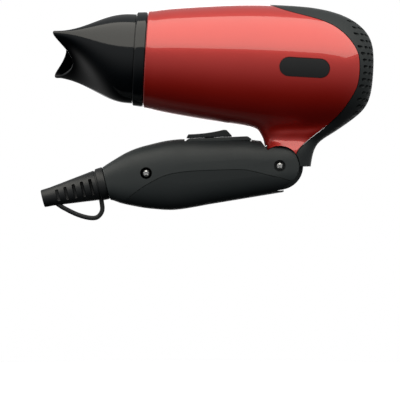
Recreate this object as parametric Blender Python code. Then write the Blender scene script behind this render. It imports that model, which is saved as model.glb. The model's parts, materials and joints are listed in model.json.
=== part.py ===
"""Folding travel hair dryer, folded, in metres, +Z up.

The air flows towards -X. The barrel's axis leans nose up, and the handle folds under the barrel on a hinge
whose axis is parallel to Y. The origin is under the middle of the folded dryer, at the level of its lowest point.
"""

import math

import bmesh
import bpy
from mathutils import Matrix, Vector

MM = 0.001

# ---- driving dimensions -------------------------------------------------------------------------
CLEARANCE = 0.3 * MM            # gap between pieces that touch
SEGMENTS = 32                   # sides of a large round piece
SMALL_SEGMENTS = 16             # sides of a small round piece

# Barrel: a turned shell whose axis leans, with a domed back and a neck that reaches down to the hinge
AXIS_LEAN = math.radians(3.2)
FRONT_RADIUS = 29.4 * MM
FAN_RADIUS = 37.1 * MM
FAN_STATION = 80.0 * MM         # distance from the front edge to the widest ring
BARREL_LENGTH = 137.3 * MM
FLARE_POWER = 1.73
DOME_POWER = 2.8
WALL = 2.0 * MM
NECK_HALF_WIDTH = 14.5 * MM

# Hinge: a drum under the neck between two cheeks of the handle
HINGE = Vector((43.3 * MM, 0.0, 32.5 * MM))
BARREL_RISE = 63.84 * MM        # height of the barrel's front centre above the hinge
BARREL_REACH = 79.8 * MM        # distance of the barrel's front centre in front of the hinge
DRUM_RADIUS = 14.2 * MM
DRUM_HALF_WIDTH = 8.0 * MM
DRUM_WALL = 2.4 * MM
CHEEK_RADIUS = 11.6 * MM
CHEEK_GAP = 1.1 * MM            # between a cheek and the drum, room for a washer
BUSH_RADIUS = 3.0 * MM
BUSH_BORE = 1.75 * MM
HUB_WALL = 1.8 * MM
WASHER_RADIUS = 6.5 * MM
WASHER_THICKNESS = 0.5 * MM
FOLD_RANGE = 75.0               # degrees, from folded to open
NECK_FRONT_ANGLE = 126.0        # degrees about the hinge, where the neck's front edge ends
NECK_BACK_ANGLE = -0.5          # degrees, where the spine ends, and the handle's back stops

# Handle
HANDLE_HALF_WIDTH = 15.0 * MM
HANDLE_WALL = 2.0 * MM
HANDLE_LENGTH = 103.5 * MM      # from the hinge to the face that the strain relief leaves

# Screws
SCREW_HEAD_RADIUS = 2.3 * MM
SCREW_SHANK_RADIUS = 1.4 * MM
SCREW_HEAD_HEIGHT = 1.8 * MM
SCREW_WELL_RADIUS = 3.5 * MM
SCREW_WELL_DEPTH = 3.0 * MM
HOUSING_SCREW_STATION = 85.0 * MM
HANDLE_BACK_END = 2.6 * MM      # how far the handle's underside reaches past the hinge axis
HANDLE_SCREW_REACH = 79.5 * MM
HANDLE_SCREW_DROP = 4.3 * MM

# Strain relief
RELIEF_LEAN = math.radians(14.0)
RELIEF_LENGTH = 39.5 * MM
RELIEF_BASE_RADIUS = 9.9 * MM
RELIEF_TIP_RADIUS = 5.2 * MM
CORD_BORE = 3.6 * MM
RELIEF_GROOVE_RADIUS = 6.2 * MM
RELIEF_FLANGE_RADIUS = 7.8 * MM
RELIEF_FLANGE_THICKNESS = 2.4 * MM
RELIEF_SLOTS = 5
RELIEF_SLOT_PITCH = 5.2 * MM
RELIEF_SLOT_WIDTH = 2.0 * MM
LOOP_THICKNESS = 2.8 * MM
LOOP_DROP = 15.0 * MM

# Nozzle and its collar
COLLAR_LENGTH = 6.3 * MM
COLLAR_WALL = 1.5 * MM
SPIGOT_LENGTH = 2.7 * MM
NOZZLE_LENGTH = 48.5 * MM
COLLAR_RADIUS = FRONT_RADIUS - 0.6 * MM
NOZZLE_BASE_RADIUS = COLLAR_RADIUS - 1.6 * MM
NOZZLE_SPIGOT_RADIUS = NOZZLE_BASE_RADIUS - 1.3 * MM
NOZZLE_WALL = 1.6 * MM
MOUTH_HALF_WIDTH = 26.0 * MM
MOUTH_HALF_HEIGHT = 5.6 * MM
MOUTH_TURN = math.radians(28.0)
LOWER_SCOOP = 11.5 * MM         # how far the middle of each lip stands back from the mouth's ends
UPPER_SCOOP = 7.0 * MM
NOZZLE_TRAVEL = 30.0 * MM

# Switch
SWITCH_REACH = 36.6 * MM
SWITCH_RISE = 17.1 * MM
SWITCH_LEAN = math.radians(-2.3)
BEZEL_LENGTH = 39.6 * MM
BEZEL_WIDTH = 15.0 * MM
BEZEL_DEPTH = 2.6 * MM
KNOB_LENGTH = 27.4 * MM
KNOB_PLACE = -5.3 * MM          # from the bezel's middle to the knob's, when it is off
KNOB_WIDTH = 11.0 * MM
KNOB_LOW = 2.2 * MM
KNOB_HIGH = 4.2 * MM
SWITCH_TRAVEL = 6.0 * MM
STEM_LENGTH = 6.0 * MM
STEM_WIDTH = 4.0 * MM
SWITCH_BODY = Vector((28.0 * MM, 10.0 * MM, 9.0 * MM))

# Inside the barrel
DUCT_RADIUS = FAN_RADIUS - 4.9 * MM
DUCT_WALL = 1.4 * MM
DUCT_START = 74.0 * MM
DUCT_END = 105.0 * MM
VANES = 5
MOTOR_RADIUS = 13.8 * MM
MOTOR_START = 57.0 * MM
MOTOR_LENGTH = 32.0 * MM
MOTOR_CUP_WALL = 1.2 * MM
SHAFT_RADIUS = 1.15 * MM
IMPELLER_START = 93.0 * MM
IMPELLER_LENGTH = 11.0 * MM
IMPELLER_HUB_RADIUS = 10.0 * MM
IMPELLER_TIP_GAP = 1.2 * MM
BLADES = 7
SLEEVE_RADIUS = FRONT_RADIUS - 4.0 * MM
SLEEVE_WALL = 0.6 * MM
HEATER_START = 9.5 * MM
HEATER_END = 50.0 * MM
BOARD_THICKNESS = 0.8 * MM
BOARD_HALF_WIDTH = SLEEVE_RADIUS - 6.4 * MM
COIL_WIRE_RADIUS = 1.2 * MM
COIL_TURNS = 5

# Intake slots in the rear cover
SLOT_ROW_PITCH = 3.8 * MM
SLOT_PITCH = 8.2 * MM
SLOT_LENGTH = 5.4 * MM
SLOT_HEIGHT = 1.7 * MM
SLOT_FIELD_RADIUS = 27.0 * MM

# Side inlays
INLAY_LENGTH = 29.4 * MM
INLAY_HEIGHT = 11.0 * MM
INLAY_STATION = 94.0 * MM
INLAY_DROP = 1.2 * MM

LEAD_RADIUS = 1.1 * MM
LEAD_SPREAD = 2.3 * MM           # from the middle plane to each lead
PORT_HALF_WIDTH = 4.6 * MM

# ---- helpers ------------------------------------------------------------------------------------


def clear_scene():
    for obj in list(bpy.data.objects):
        bpy.data.objects.remove(obj)


def material(name, colour, roughness, metallic=0.0):
    made = bpy.data.materials.new(name)
    made.use_nodes = True
    shader = made.node_tree.nodes["Principled BSDF"]
    shader.inputs["Base Color"].default_value = (*colour, 1.0)
    shader.inputs["Roughness"].default_value = roughness
    shader.inputs["Metallic"].default_value = metallic
    return made


def frame(name, location, turn=0.0, parent=None):
    """An empty that carries pieces: location in its parent, turned about Y."""
    empty = bpy.data.objects.new(name, None)
    empty.location = location
    empty.rotation_euler = (0.0, turn, 0.0)
    empty.parent = parent
    bpy.context.collection.objects.link(empty)
    return empty


def add(name, bm, parent, finish=None, smooth_angle=35.0):
    """Makes bm a named object that rides on parent. With no finish it is a guide or a cutter."""
    bmesh.ops.recalc_face_normals(bm, faces=bm.faces)
    mesh = bpy.data.meshes.new(name)
    bm.to_mesh(mesh)
    bm.free()
    mesh.shade_smooth()
    mesh.set_sharp_from_angle(angle=math.radians(smooth_angle))
    obj = bpy.data.objects.new(name, mesh)
    obj.parent = parent
    bpy.context.collection.objects.link(obj)
    if finish is None:
        obj.hide_render = True
        obj.display_type = "WIRE"
    else:
        mesh.materials.append(finish)
    return obj


def boolean(obj, other, operation="DIFFERENCE"):
    modifier = obj.modifiers.new(operation.lower(), "BOOLEAN")
    modifier.operation = operation
    modifier.object = other


def subdivide(obj, levels=1):
    modifier = obj.modifiers.new("subdivision", "SUBSURF")
    modifier.levels = levels
    modifier.render_levels = levels


def loft(rings, closed=False):
    """A skin over rings of points that all have the same count. Its ends are capped unless it closes on itself."""
    bm = bmesh.new()
    rows = [[bm.verts.new(point) for point in ring] for ring in rings]
    pairs = list(zip(rows, rows[1:] + rows[:1] if closed else rows[1:]))
    for low, high in pairs:
        for i in range(len(low)):
            j = (i + 1) % len(low)
            bm.faces.new((low[i], low[j], high[j], high[i]))
    if not closed:
        bm.faces.new(rows[0])
        bm.faces.new(rows[-1])
    return bm


def circle(station, radius, sides, axis="X"):
    """Points of a circle about the X or Y axis, at a place along it. A point stands at its bottom."""
    points = []
    for i in range(sides):
        angle = 2 * math.pi * i / sides - math.pi / 2
        across, up = radius * math.cos(angle), radius * math.sin(angle)
        points.append(Vector((station, across, up) if axis == "X" else (across, station, up)))
    return points


def turned(profile, sides=SEGMENTS, axis="X", closed=False):
    """A solid turned about an axis from (place, radius) pairs. Closed joins the last pair to the first: a tube."""
    return loft([circle(place, radius, sides, axis) for place, radius in profile], closed)


def tube(start, end, outer, inner, sides=SEGMENTS, axis="X"):
    profile = [(start, outer), (end, outer), (end, inner), (start, inner)]
    return turned(profile, sides, axis, closed=True)


def moved(bm, offset):
    bmesh.ops.translate(bm, verts=bm.verts, vec=offset)
    return bm


def block(low, high):
    bm = bmesh.new()
    middle = (Vector(low) + Vector(high)) / 2
    size = Vector(high) - Vector(low)
    bmesh.ops.create_cube(bm, size=1.0)
    bmesh.ops.scale(bm, verts=bm.verts, vec=size)
    return moved(bm, middle)


def merged(parts):
    """Several separate shapes in one mesh, for a cutter, or for a Boolean union that joins them."""
    whole = bmesh.new()
    for part in parts:
        mesh = bpy.data.meshes.new("part")
        part.to_mesh(mesh)
        part.free()
        whole.from_mesh(mesh)
        bpy.data.meshes.remove(mesh)
    return whole


def prism(outline, half_width):
    """An outline of (x, z) points, made solid from -half_width to half_width along Y."""
    return loft([[Vector((x, y, z)) for x, z in outline] for y in (-half_width, half_width)])


def sector(start, end, radius, steps=8):
    """Outline of a pie slice about the hinge, from start to end in degrees."""
    outline = [(0.0, 0.0)]
    for i in range(steps + 1):
        angle = math.radians(start + (end - start) * i / steps)
        outline.append((radius * math.cos(angle), radius * math.sin(angle)))
    return outline


def smooth_path(points, per_span):
    """A smooth curve through points, as Catmull-Rom spans."""
    points = [Vector(p) for p in points]
    ends = [2 * points[0] - points[1], *points, 2 * points[-1] - points[-2]]
    path = []
    for a, b, c, d in zip(ends, ends[1:], ends[2:], ends[3:]):
        for i in range(per_span):
            t = i / per_span
            path.append(0.5 * (2 * b + (c - a) * t + (2 * a - 5 * b + 4 * c - d) * t**2
                               + (3 * b - a - 3 * c + d) * t**3))
    return path + [points[-1]]


def spline_value(points, x):
    """The height at x of a smooth curve through (x, height) points in rising order of x."""
    for i in range(len(points) - 1):
        if x <= points[i + 1][0] or i == len(points) - 2:
            break
    (x0, y0), (x1, y1) = points[i], points[i + 1]
    before = points[i - 1] if i else (2 * x0 - x1, 2 * y0 - y1)
    after = points[i + 2] if i + 2 < len(points) else (2 * x1 - x0, 2 * y1 - y0)
    slope0 = (y1 - before[1]) / (x1 - before[0])
    slope1 = (after[1] - y0) / (after[0] - x0)
    span = x1 - x0
    t = (x - x0) / span
    return ((2 * t**3 - 3 * t**2 + 1) * y0 + (t**3 - 2 * t**2 + t) * span * slope0
            + (3 * t**2 - 2 * t**3) * y1 + (t**3 - t**2) * span * slope1)


def rod(path, across, along, sides=8):
    """A solid rod along a path. Its section is an ellipse: across is its half size along Y where the path is flat in Y."""
    rings = []
    side = Vector((0.0, 1.0, 0.0))
    for before, point, after in zip([path[0]] + path, path, path[1:] + [path[-1]]):
        forward = (after - before).normalized()
        side = (side - forward * side.dot(forward)).normalized()
        up = forward.cross(side)
        angles = [2 * math.pi * i / sides for i in range(sides)]
        rings.append([point + side * across * math.cos(a) + up * along * math.sin(a) for a in angles])
    return loft(rings)


def pan_screw(name, length, parent, finish, place, towards=1):
    """A pan-head screw along Y with a cross recess. Its head's underside is at place, and its shank points towards."""
    head = [(-SCREW_HEAD_HEIGHT, 0.55 * SCREW_HEAD_RADIUS), (-0.7 * SCREW_HEAD_HEIGHT, 0.85 * SCREW_HEAD_RADIUS),
            (0.0, SCREW_HEAD_RADIUS), (0.0, SCREW_SHANK_RADIUS), (length, SCREW_SHANK_RADIUS),
            (length + SCREW_SHANK_RADIUS, 0.3 * SCREW_SHANK_RADIUS)]
    bm = turned([(towards * y, r) for y, r in head], SMALL_SEGMENTS, "Y")
    screw = add(name, moved(bm, place), parent, finish)
    arm = 0.62 * SCREW_HEAD_RADIUS
    thick = 0.16 * SCREW_HEAD_RADIUS
    top = -towards * 1.2 * SCREW_HEAD_HEIGHT
    bottom = -towards * 0.35 * SCREW_HEAD_HEIGHT
    low, high = sorted((top, bottom))
    for i, (dx, dz) in enumerate(((arm, thick), (thick, arm))):
        slot = moved(block((-dx, low, -dz), (dx, high, dz)), place)
        boolean(screw, add(f"{name}_recess_{i + 1}", slot, parent))
    return screw


# ---- barrel shell -------------------------------------------------------------------------------


def barrel_radius(station):
    if station <= FAN_STATION:
        flare = 1 - max(0.0, 1 - station / FAN_STATION) ** FLARE_POWER
        return FRONT_RADIUS + (FAN_RADIUS - FRONT_RADIUS) * flare
    share = (station - FAN_STATION) / (BARREL_LENGTH - FAN_STATION)
    return FAN_RADIUS * (1 - share**DOME_POWER) ** (1 / DOME_POWER)


def cage_profile(inset, smooth):
    """(station, radius) of the rings. When smooth, their subdivision surface meets the barrel's profile."""
    ahead = 14.0 * MM
    shares = (0.1, 0.3, 0.6, 0.86)      # of the cone in front of the widest ring
    stations = [-ahead] + [0.0] + [FAN_STATION * share for share in shares]
    stations += [FAN_STATION + (BARREL_LENGTH - FAN_STATION) * share for share in (0.17, 0.42, 0.63, 0.80, 0.92, 0.985)]
    target = [Vector((s, barrel_radius(max(s, 0.0)))) for s in stations]
    cage = [p.copy() for p in target]
    for _ in range(6 if smooth else 0):
        limit = [cage[0]] + [(a + 4 * b + c) / 6 for a, b, c in zip(cage, cage[1:], cage[2:])] + [cage[-1]]
        cage = [c + t - l for c, t, l in zip(cage, target, limit)]
    sides = 16
    swell = 3 / (2 + math.cos(2 * math.pi / sides)) if smooth else 1.0
    pulled = []
    for point in cage:
        radius = point.y - inset
        back = inset * max(0.0, (point.x - FAN_STATION) / (BARREL_LENGTH - FAN_STATION))
        pulled.append((point.x - back, max(radius, 1.0 * MM) * swell))
    return pulled, sides


def neck_loop(level, front, rear, half_width, inset, into_barrel):
    """Five by three points of the neck's section at a height above the hinge, in the barrel's frame."""
    front += inset
    rear -= inset
    half_width = (half_width - inset) * 1.05
    grid = {}
    for i in range(5):
        for j in (-1, 0, 1):
            x = front + (rear - front) * i / 4
            y = j * half_width
            if j and i in (0, 4):
                y *= 0.62
                x += (rear - front) * (0.07 if i == 0 else -0.07)
            grid[i, j] = into_barrel @ (HINGE + Vector((x, y, level)))
    return grid


def body_cage(name, inset, barrel, smooth=True):
    """The barrel with its neck, as a cage for a subdivision surface, or as a plainer inset solid for the hollow."""
    profile, sides = cage_profile(inset, smooth)
    neck_inset = inset if smooth else inset + 0.9 * MM
    if inset:
        profile[0] = (profile[0][0] - 4.0 * MM, profile[0][1])
    bm = bmesh.new()
    rows = [[bm.verts.new(p) for p in circle(s, r, sides)] for s, r in profile]
    first_row = 5
    patch = []
    spots = {}
    for n, (low, high) in enumerate(zip(rows, rows[1:])):
        for i in range(sides):
            j = (i + 1) % sides
            face = bm.faces.new((low[i], low[j], high[j], high[i]))
            if first_row <= n < first_row + 4 and i in (sides - 1, 0):
                patch.append(face)
    for i in range(5):
        for j in (-1, 0, 1):
            spots[rows[first_row + i][j % sides]] = (i, j)
    bm.faces.new(rows[0])
    bm.faces.new(rows[-1])
    into_barrel = barrel.matrix_world.inverted()
    levels = (
        (23.0 * MM, -13.5 * MM, 38.0 * MM, NECK_HALF_WIDTH + 1.5 * MM),
        (12.0 * MM, -8.8 * MM, 22.2 * MM, NECK_HALF_WIDTH),
        (-1.0 * MM, -8.4 * MM, 19.4 * MM, NECK_HALF_WIDTH),
        (-10.0 * MM, -8.4 * MM, 19.0 * MM, NECK_HALF_WIDTH),
    )
    for level, front, rear, half_width in levels:
        grid = neck_loop(level, front, rear, half_width, neck_inset, into_barrel)
        made = bmesh.ops.extrude_face_region(bm, geom=patch)
        bmesh.ops.delete(bm, geom=patch, context="FACES_ONLY")
        patch = [f for f in made["geom"] if isinstance(f, bmesh.types.BMFace)]
        fresh = {v for f in patch for v in f.verts}
        old = {tuple(round(c, 7) for c in v.co): spot for v, spot in spots.items()}
        spots = {v: old[tuple(round(c, 7) for c in v.co)] for v in fresh}
        for vert, spot in spots.items():
            vert.co = grid[spot]
    loose = [v for v in bm.verts if not v.link_faces]
    bmesh.ops.delete(bm, geom=loose, context="VERTS")
    obj = add(name, bm, barrel)
    if smooth:
        subdivide(obj, 1)
    return obj


def rear_outline(grow):
    """Side outline, about the hinge, of the region that the rear cover fills. It starts on top of the barrel."""
    edge = [(-11.0, 99.0), (3.6, 92.6), (24.0, 86.5), (34.0, 81.5), (41.4, 74.5), (46.0, 66.5), (47.0, 58.0),
            (46.0, 48.5), (43.0, 41.5), (36.6, 32.0), (28.0, 23.6), (19.0, 16.6), (11.0, 9.0), (9.0, 1.0)]
    path = smooth_path([Vector((x * MM, 0.0, z * MM)) for x, z in edge], 2)
    line = []
    for before, point, after in zip([path[0]] + path, path, path[1:] + [path[-1]]):
        along = (after - before).normalized()
        line.append((point.x + along.z * grow, point.z - along.x * grow))
    far, low, high = BARREL_LENGTH, -30.0 * MM, line[0][1] + FAN_RADIUS
    return line + [(line[-1][0], low), (far, low), (far, high), (line[0][0], high)]


def stadium(length, height, sides=8):
    """Outline of a slot with round ends, centred."""
    radius = height / 2
    outline = []
    for end in (1, -1):
        for i in range(sides + 1):
            angle = math.pi * (i / sides - 0.5) + (0 if end == 1 else math.pi)
            outline.append((end * (length / 2 - radius) + radius * math.cos(angle), radius * math.sin(angle)))
    return outline


def at_hinge(outline, half_width):
    """A cutter across the dryer: an outline about the hinge, in world axes."""
    return moved(prism(outline, half_width), HINGE)


def cheek_outline(grow):
    """Side outline, about the hinge, that bounds the handle at its hinge end: a cheek's disc, and the neck's front."""
    radius = CHEEK_RADIUS + grow
    end = HANDLE_BACK_END + grow
    start = -math.acos(end / radius)
    finish = math.radians(NECK_FRONT_ANGLE + 2.0)
    steps = 20
    outline = [(end, -60.0 * MM)]
    for i in range(steps + 1):
        angle = start + (finish - start) * i / steps
        outline.append((radius * math.cos(angle), radius * math.sin(angle)))
    for x, z in ((-10.9, 14.9), (-12.3, 18.5)):
        outline.append((x * MM + grow, z * MM))
    return outline + [(-130.0 * MM, 18.5 * MM), (-130.0 * MM, -60.0 * MM)]


def cut_for_handle(obj, guides):
    boolean(obj, guides["handle space"])
    boolean(obj, guides["swing space"])


def body_guides(barrel):
    """Cutters that the housing halves and the rear cover share."""
    guides = {}
    hollow = body_cage("body_hollow", WALL, barrel, smooth=False)
    stop_cheek = add("hollow_stop_cheek", at_hinge(cheek_outline(0.4 * MM + WALL), 40 * MM), None)
    stop_drum = add("hollow_stop_drum", moved(turned([(-30 * MM, DRUM_RADIUS), (30 * MM, DRUM_RADIUS)], axis="Y"), HINGE), None)
    spine = block((9.0 * MM, -30 * MM, -30 * MM), (40 * MM, 30 * MM, 13.0 * MM))
    stop_spine = add("hollow_stop_spine", moved(spine, HINGE), None)
    for stop in (stop_cheek, stop_drum, stop_spine):
        boolean(hollow, stop)
    guides["hollow"] = hollow
    guides["handle space"] = add("handle_space", at_hinge(cheek_outline(0.4 * MM), 40 * MM), None)
    swing = sector(200.0, 360.0 + NECK_BACK_ANGLE, 60 * MM, 12)
    guides["swing space"] = add("swing_space", at_hinge(swing, 40 * MM), None)
    guides["rear"] = add("rear_region", at_hinge(rear_outline(0.0), 60 * MM), None)
    guides["rear grown"] = add("rear_region_grown", at_hinge(rear_outline(CLEARANCE), 60 * MM), None)
    reach = DRUM_HALF_WIDTH + CLEARANCE
    drum_space = turned([(-reach, DRUM_RADIUS + CLEARANCE), (reach, DRUM_RADIUS + CLEARANCE)], axis="Y")
    guides["drum"] = add("drum_space", moved(drum_space, HINGE), None)
    port = block((-7 * MM, -PORT_HALF_WIDTH, 8.5 * MM), (4 * MM, PORT_HALF_WIDTH, 20 * MM))
    guides["port"] = add("neck_port", moved(port, HINGE), None)
    front = block((-40 * MM, -50 * MM, -50 * MM), (0.0, 50 * MM, 50 * MM))
    guides["front"] = add("front_space", front, barrel)
    return guides


def hinge_knuckle(neck_port, finish):
    """The drum clamped between the housing halves: a rim, two end plates and a hub round the bush."""
    solid = turned([(-DRUM_HALF_WIDTH, DRUM_RADIUS), (DRUM_HALF_WIDTH, DRUM_RADIUS)], axis="Y")
    drum = add("hinge_knuckle", moved(solid, HINGE), None, finish)
    inside = DRUM_HALF_WIDTH - WALL
    hollow = tube(-inside, inside, DRUM_RADIUS - DRUM_WALL, BUSH_RADIUS + CLEARANCE + HUB_WALL, axis="Y")
    boolean(drum, add("drum_hollow", moved(hollow, HINGE), None))
    bore = turned([(-20 * MM, BUSH_RADIUS + CLEARANCE), (20 * MM, BUSH_RADIUS + CLEARANCE)], SMALL_SEGMENTS, "Y")
    boolean(drum, add("drum_bore", moved(bore, HINGE), None))
    ring = sector(166.0, 194.0 + FOLD_RANGE, 25 * MM, 10)[1:]
    inner = sector(194.0 + FOLD_RANGE, 166.0, 8.6 * MM, 10)[1:]
    slot = prism(ring + inner, PORT_HALF_WIDTH)
    boolean(drum, add("drum_port_out", moved(slot, HINGE), None))
    boolean(drum, neck_port)


def inlay_prism(grow, side, start):
    outline = stadium(INLAY_LENGTH + 2 * grow, INLAY_HEIGHT + 2 * grow)
    ends = sorted((side * start, side * 60 * MM))
    bm = loft([[Vector((x, y, z)) for x, z in outline] for y in ends])
    return moved(bm, Vector((INLAY_STATION, 0.0, -INLAY_DROP)))


def housing(barrel, guides, finish):
    """The two halves of the coloured shell, with the neck."""
    floor = body_cage("recess_floor", 1.3 * MM, barrel)
    for name, side in (("left", -1), ("right", 1)):
        half = body_cage(f"housing_{name}", 0.0, barrel)
        half.hide_render = False
        half.display_type = "TEXTURED"
        half.data.materials.append(finish)
        other = sorted((-side * 60 * MM, side * CLEARANCE / 2))
        keep_out = add(f"{name}_other_half", block((-0.2, other[0], -0.2), (0.3, other[1], 0.2)), None)
        boolean(half, keep_out)
        boolean(half, guides["hollow"])
        boss_ends = sorted((side * (FAN_RADIUS - 4.1 * MM), side * (FAN_RADIUS - 1.1 * MM)))
        boss = turned([(boss_ends[0], 4.6 * MM), (boss_ends[1], 4.6 * MM)], SMALL_SEGMENTS, "Y")
        spot = Vector((HOUSING_SCREW_STATION, 0.0, -INLAY_DROP))
        boolean(half, add(f"{name}_boss", moved(boss, spot), barrel), "UNION")
        boolean(half, guides["front"])
        cut_for_handle(half, guides)
        boolean(half, guides["rear grown"])
        boolean(half, guides["port"])
        boolean(half, guides["drum"])
        recess = add(f"{name}_recess", inlay_prism(CLEARANCE, side, 25 * MM), barrel)
        boolean(recess, floor)
        boolean(half, recess)
        well = sorted((side * (FAN_RADIUS - 3.5 * MM), side * (FAN_RADIUS + 13 * MM)))
        well_cut = turned([(well[0], 3.2 * MM), (well[1], 3.2 * MM)], SMALL_SEGMENTS, "Y")
        boolean(half, add(f"{name}_well", moved(well_cut, spot), barrel))
        hole = sorted((side * (FAN_RADIUS - 9.1 * MM), side * (FAN_RADIUS - 1.1 * MM)))
        hole_cut = turned([(hole[0], 1.7 * MM), (hole[1], 1.7 * MM)], 10, "Y")
        boolean(half, add(f"{name}_hole", moved(hole_cut, spot), barrel))


def rear_cover(barrel, guides, finish):
    """The domed back with its intake slots, and the spine behind the hinge."""
    cover = body_cage("rear_cover", 0.0, barrel)
    cover.hide_render = False
    cover.display_type = "TEXTURED"
    cover.data.materials.append(finish)
    boolean(cover, guides["rear"], "INTERSECT")
    boolean(cover, guides["hollow"])
    cut_for_handle(cover, guides)
    boolean(cover, guides["drum"])
    slots = []
    rows = int(SLOT_FIELD_RADIUS / SLOT_ROW_PITCH)
    for row in range(-rows, rows + 1):
        z = row * SLOT_ROW_PITCH
        half_row = math.sqrt(SLOT_FIELD_RADIUS**2 - z**2) - SLOT_LENGTH / 2
        count = int(half_row / SLOT_PITCH)
        for column in range(-count, count + 1):
            y = column * SLOT_PITCH
            low = (112 * MM, y - SLOT_LENGTH / 2, z - SLOT_HEIGHT / 2)
            slots.append(block(low, (150 * MM, y + SLOT_LENGTH / 2, z + SLOT_HEIGHT / 2)))
    boolean(cover, add("intake_slots", merged(slots), barrel))
    return cover


def inlays(barrel, finish):
    for name, side in (("left", -1), ("right", 1)):
        inlay = add(f"side_inlay_{name}", inlay_prism(0.0, side, 25 * MM), barrel, finish)
        boolean(inlay, body_cage(f"{name}_inlay_outside", 0.0, barrel), "INTERSECT")
        boolean(inlay, body_cage(f"{name}_inlay_inside", 1.0 * MM, barrel))


# ---- inside the barrel --------------------------------------------------------------------------


def air_path(barrel, finishes):
    duct = add("fan_housing", tube(DUCT_START, DUCT_END, DUCT_RADIUS, DUCT_RADIUS - DUCT_WALL), barrel, finishes["frame"])
    inner = MOTOR_RADIUS + CLEARANCE
    vanes = []
    for i in range(VANES):
        angle = math.radians(90 + 360 * i / VANES)
        vane = block((75 * MM, inner + 0.6 * MM, -0.7 * MM), (88 * MM, DUCT_RADIUS - 0.6 * MM, 0.7 * MM))
        bmesh.ops.rotate(vane, verts=vane.verts, matrix=Matrix.Rotation(angle, 3, "X"))
        vanes.append(vane)
    boolean(duct, add("vanes", merged(vanes), barrel), "UNION")
    cup = add("motor_cup", tube(68 * MM, 90 * MM, inner + MOTOR_CUP_WALL, inner, 24), barrel)
    boolean(duct, cup, "UNION")
    for side in (-1, 1):
        ends = sorted((side * (DUCT_RADIUS - 4.2 * MM), side * (DUCT_RADIUS - 0.2 * MM)))
        boss = turned([(ends[0], 3.2 * MM), (ends[1], 3.2 * MM)], 12, "Y")
        spot = Vector((HOUSING_SCREW_STATION, 0.0, -INLAY_DROP))
        boolean(duct, add(f"duct_boss_{side + 2}", moved(boss, spot), barrel), "UNION")
        ends = sorted((side * (DUCT_RADIUS - 3.3 * MM), side * (DUCT_RADIUS + 3.8 * MM)))
        hole = turned([(ends[0], 1.7 * MM), (ends[1], 1.7 * MM)], 10, "Y")
        boolean(duct, add(f"duct_hole_{side + 2}", moved(hole, spot), barrel))
    bore = SHAFT_RADIUS + CLEARANCE
    end = MOTOR_START + MOTOR_LENGTH
    profile = [(MOTOR_START, 0.8 * MOTOR_RADIUS), (MOTOR_START + 2 * MM, MOTOR_RADIUS), (end - 2 * MM, MOTOR_RADIUS),
               (end, 0.85 * MOTOR_RADIUS), (end, bore), (MOTOR_START, bore)]
    add("motor", turned(profile, 24, closed=True), barrel, finishes["steel"])
    add("motor_board", tube(MOTOR_START - 2.4 * MM, MOTOR_START - 1.2 * MM, 11.5 * MM, 2.5 * MM, 20), barrel, finishes["board"])
    shaft = [(MOTOR_START + 1 * MM, SHAFT_RADIUS), (IMPELLER_START + IMPELLER_LENGTH - 1 * MM, SHAFT_RADIUS)]
    add("motor_shaft", turned(shaft, 12), barrel, finishes["steel"])
    return duct


def impeller(barrel, finish):
    start, length, hub = IMPELLER_START, IMPELLER_LENGTH, IMPELLER_HUB_RADIUS
    bore = SHAFT_RADIUS + CLEARANCE
    profile = [(start, hub), (start + 0.6 * length, hub), (start + 0.9 * length, 0.75 * hub),
               (start + length, 0.35 * hub), (start + length, bore), (start, bore)]
    fan = add("fan_impeller", turned(profile, 24, closed=True), barrel, finish)
    tip = DUCT_RADIUS - DUCT_WALL - IMPELLER_TIP_GAP
    blades = []
    for n in range(BLADES):
        rings = []
        for share in (0.0, 0.35, 0.7, 1.0):
            radius = 0.8 * hub + (tip - 0.8 * hub) * share
            pitch = math.radians(52 - 24 * share)
            chord = (6.0 + 4.0 * share) * MM
            ring = []
            for u, thick in ((-0.5, 0.3), (0.0, 0.6), (0.5, 0.3), (0.5, -0.3), (0.0, -0.6), (-0.5, -0.3)):
                forward = u * chord * math.sin(pitch) + thick * MM * math.cos(pitch)
                around = u * chord * math.cos(pitch) - thick * MM * math.sin(pitch)
                ring.append(Vector((start + 0.42 * length + 0.8 * forward, radius, around)))
            rings.append(ring)
        blade = loft(rings)
        bmesh.ops.rotate(blade, verts=blade.verts, matrix=Matrix.Rotation(2 * math.pi * n / BLADES, 3, "X"))
        blades.append(blade)
    boolean(fan, add("blades", merged(blades), barrel), "UNION")
    return fan


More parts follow.
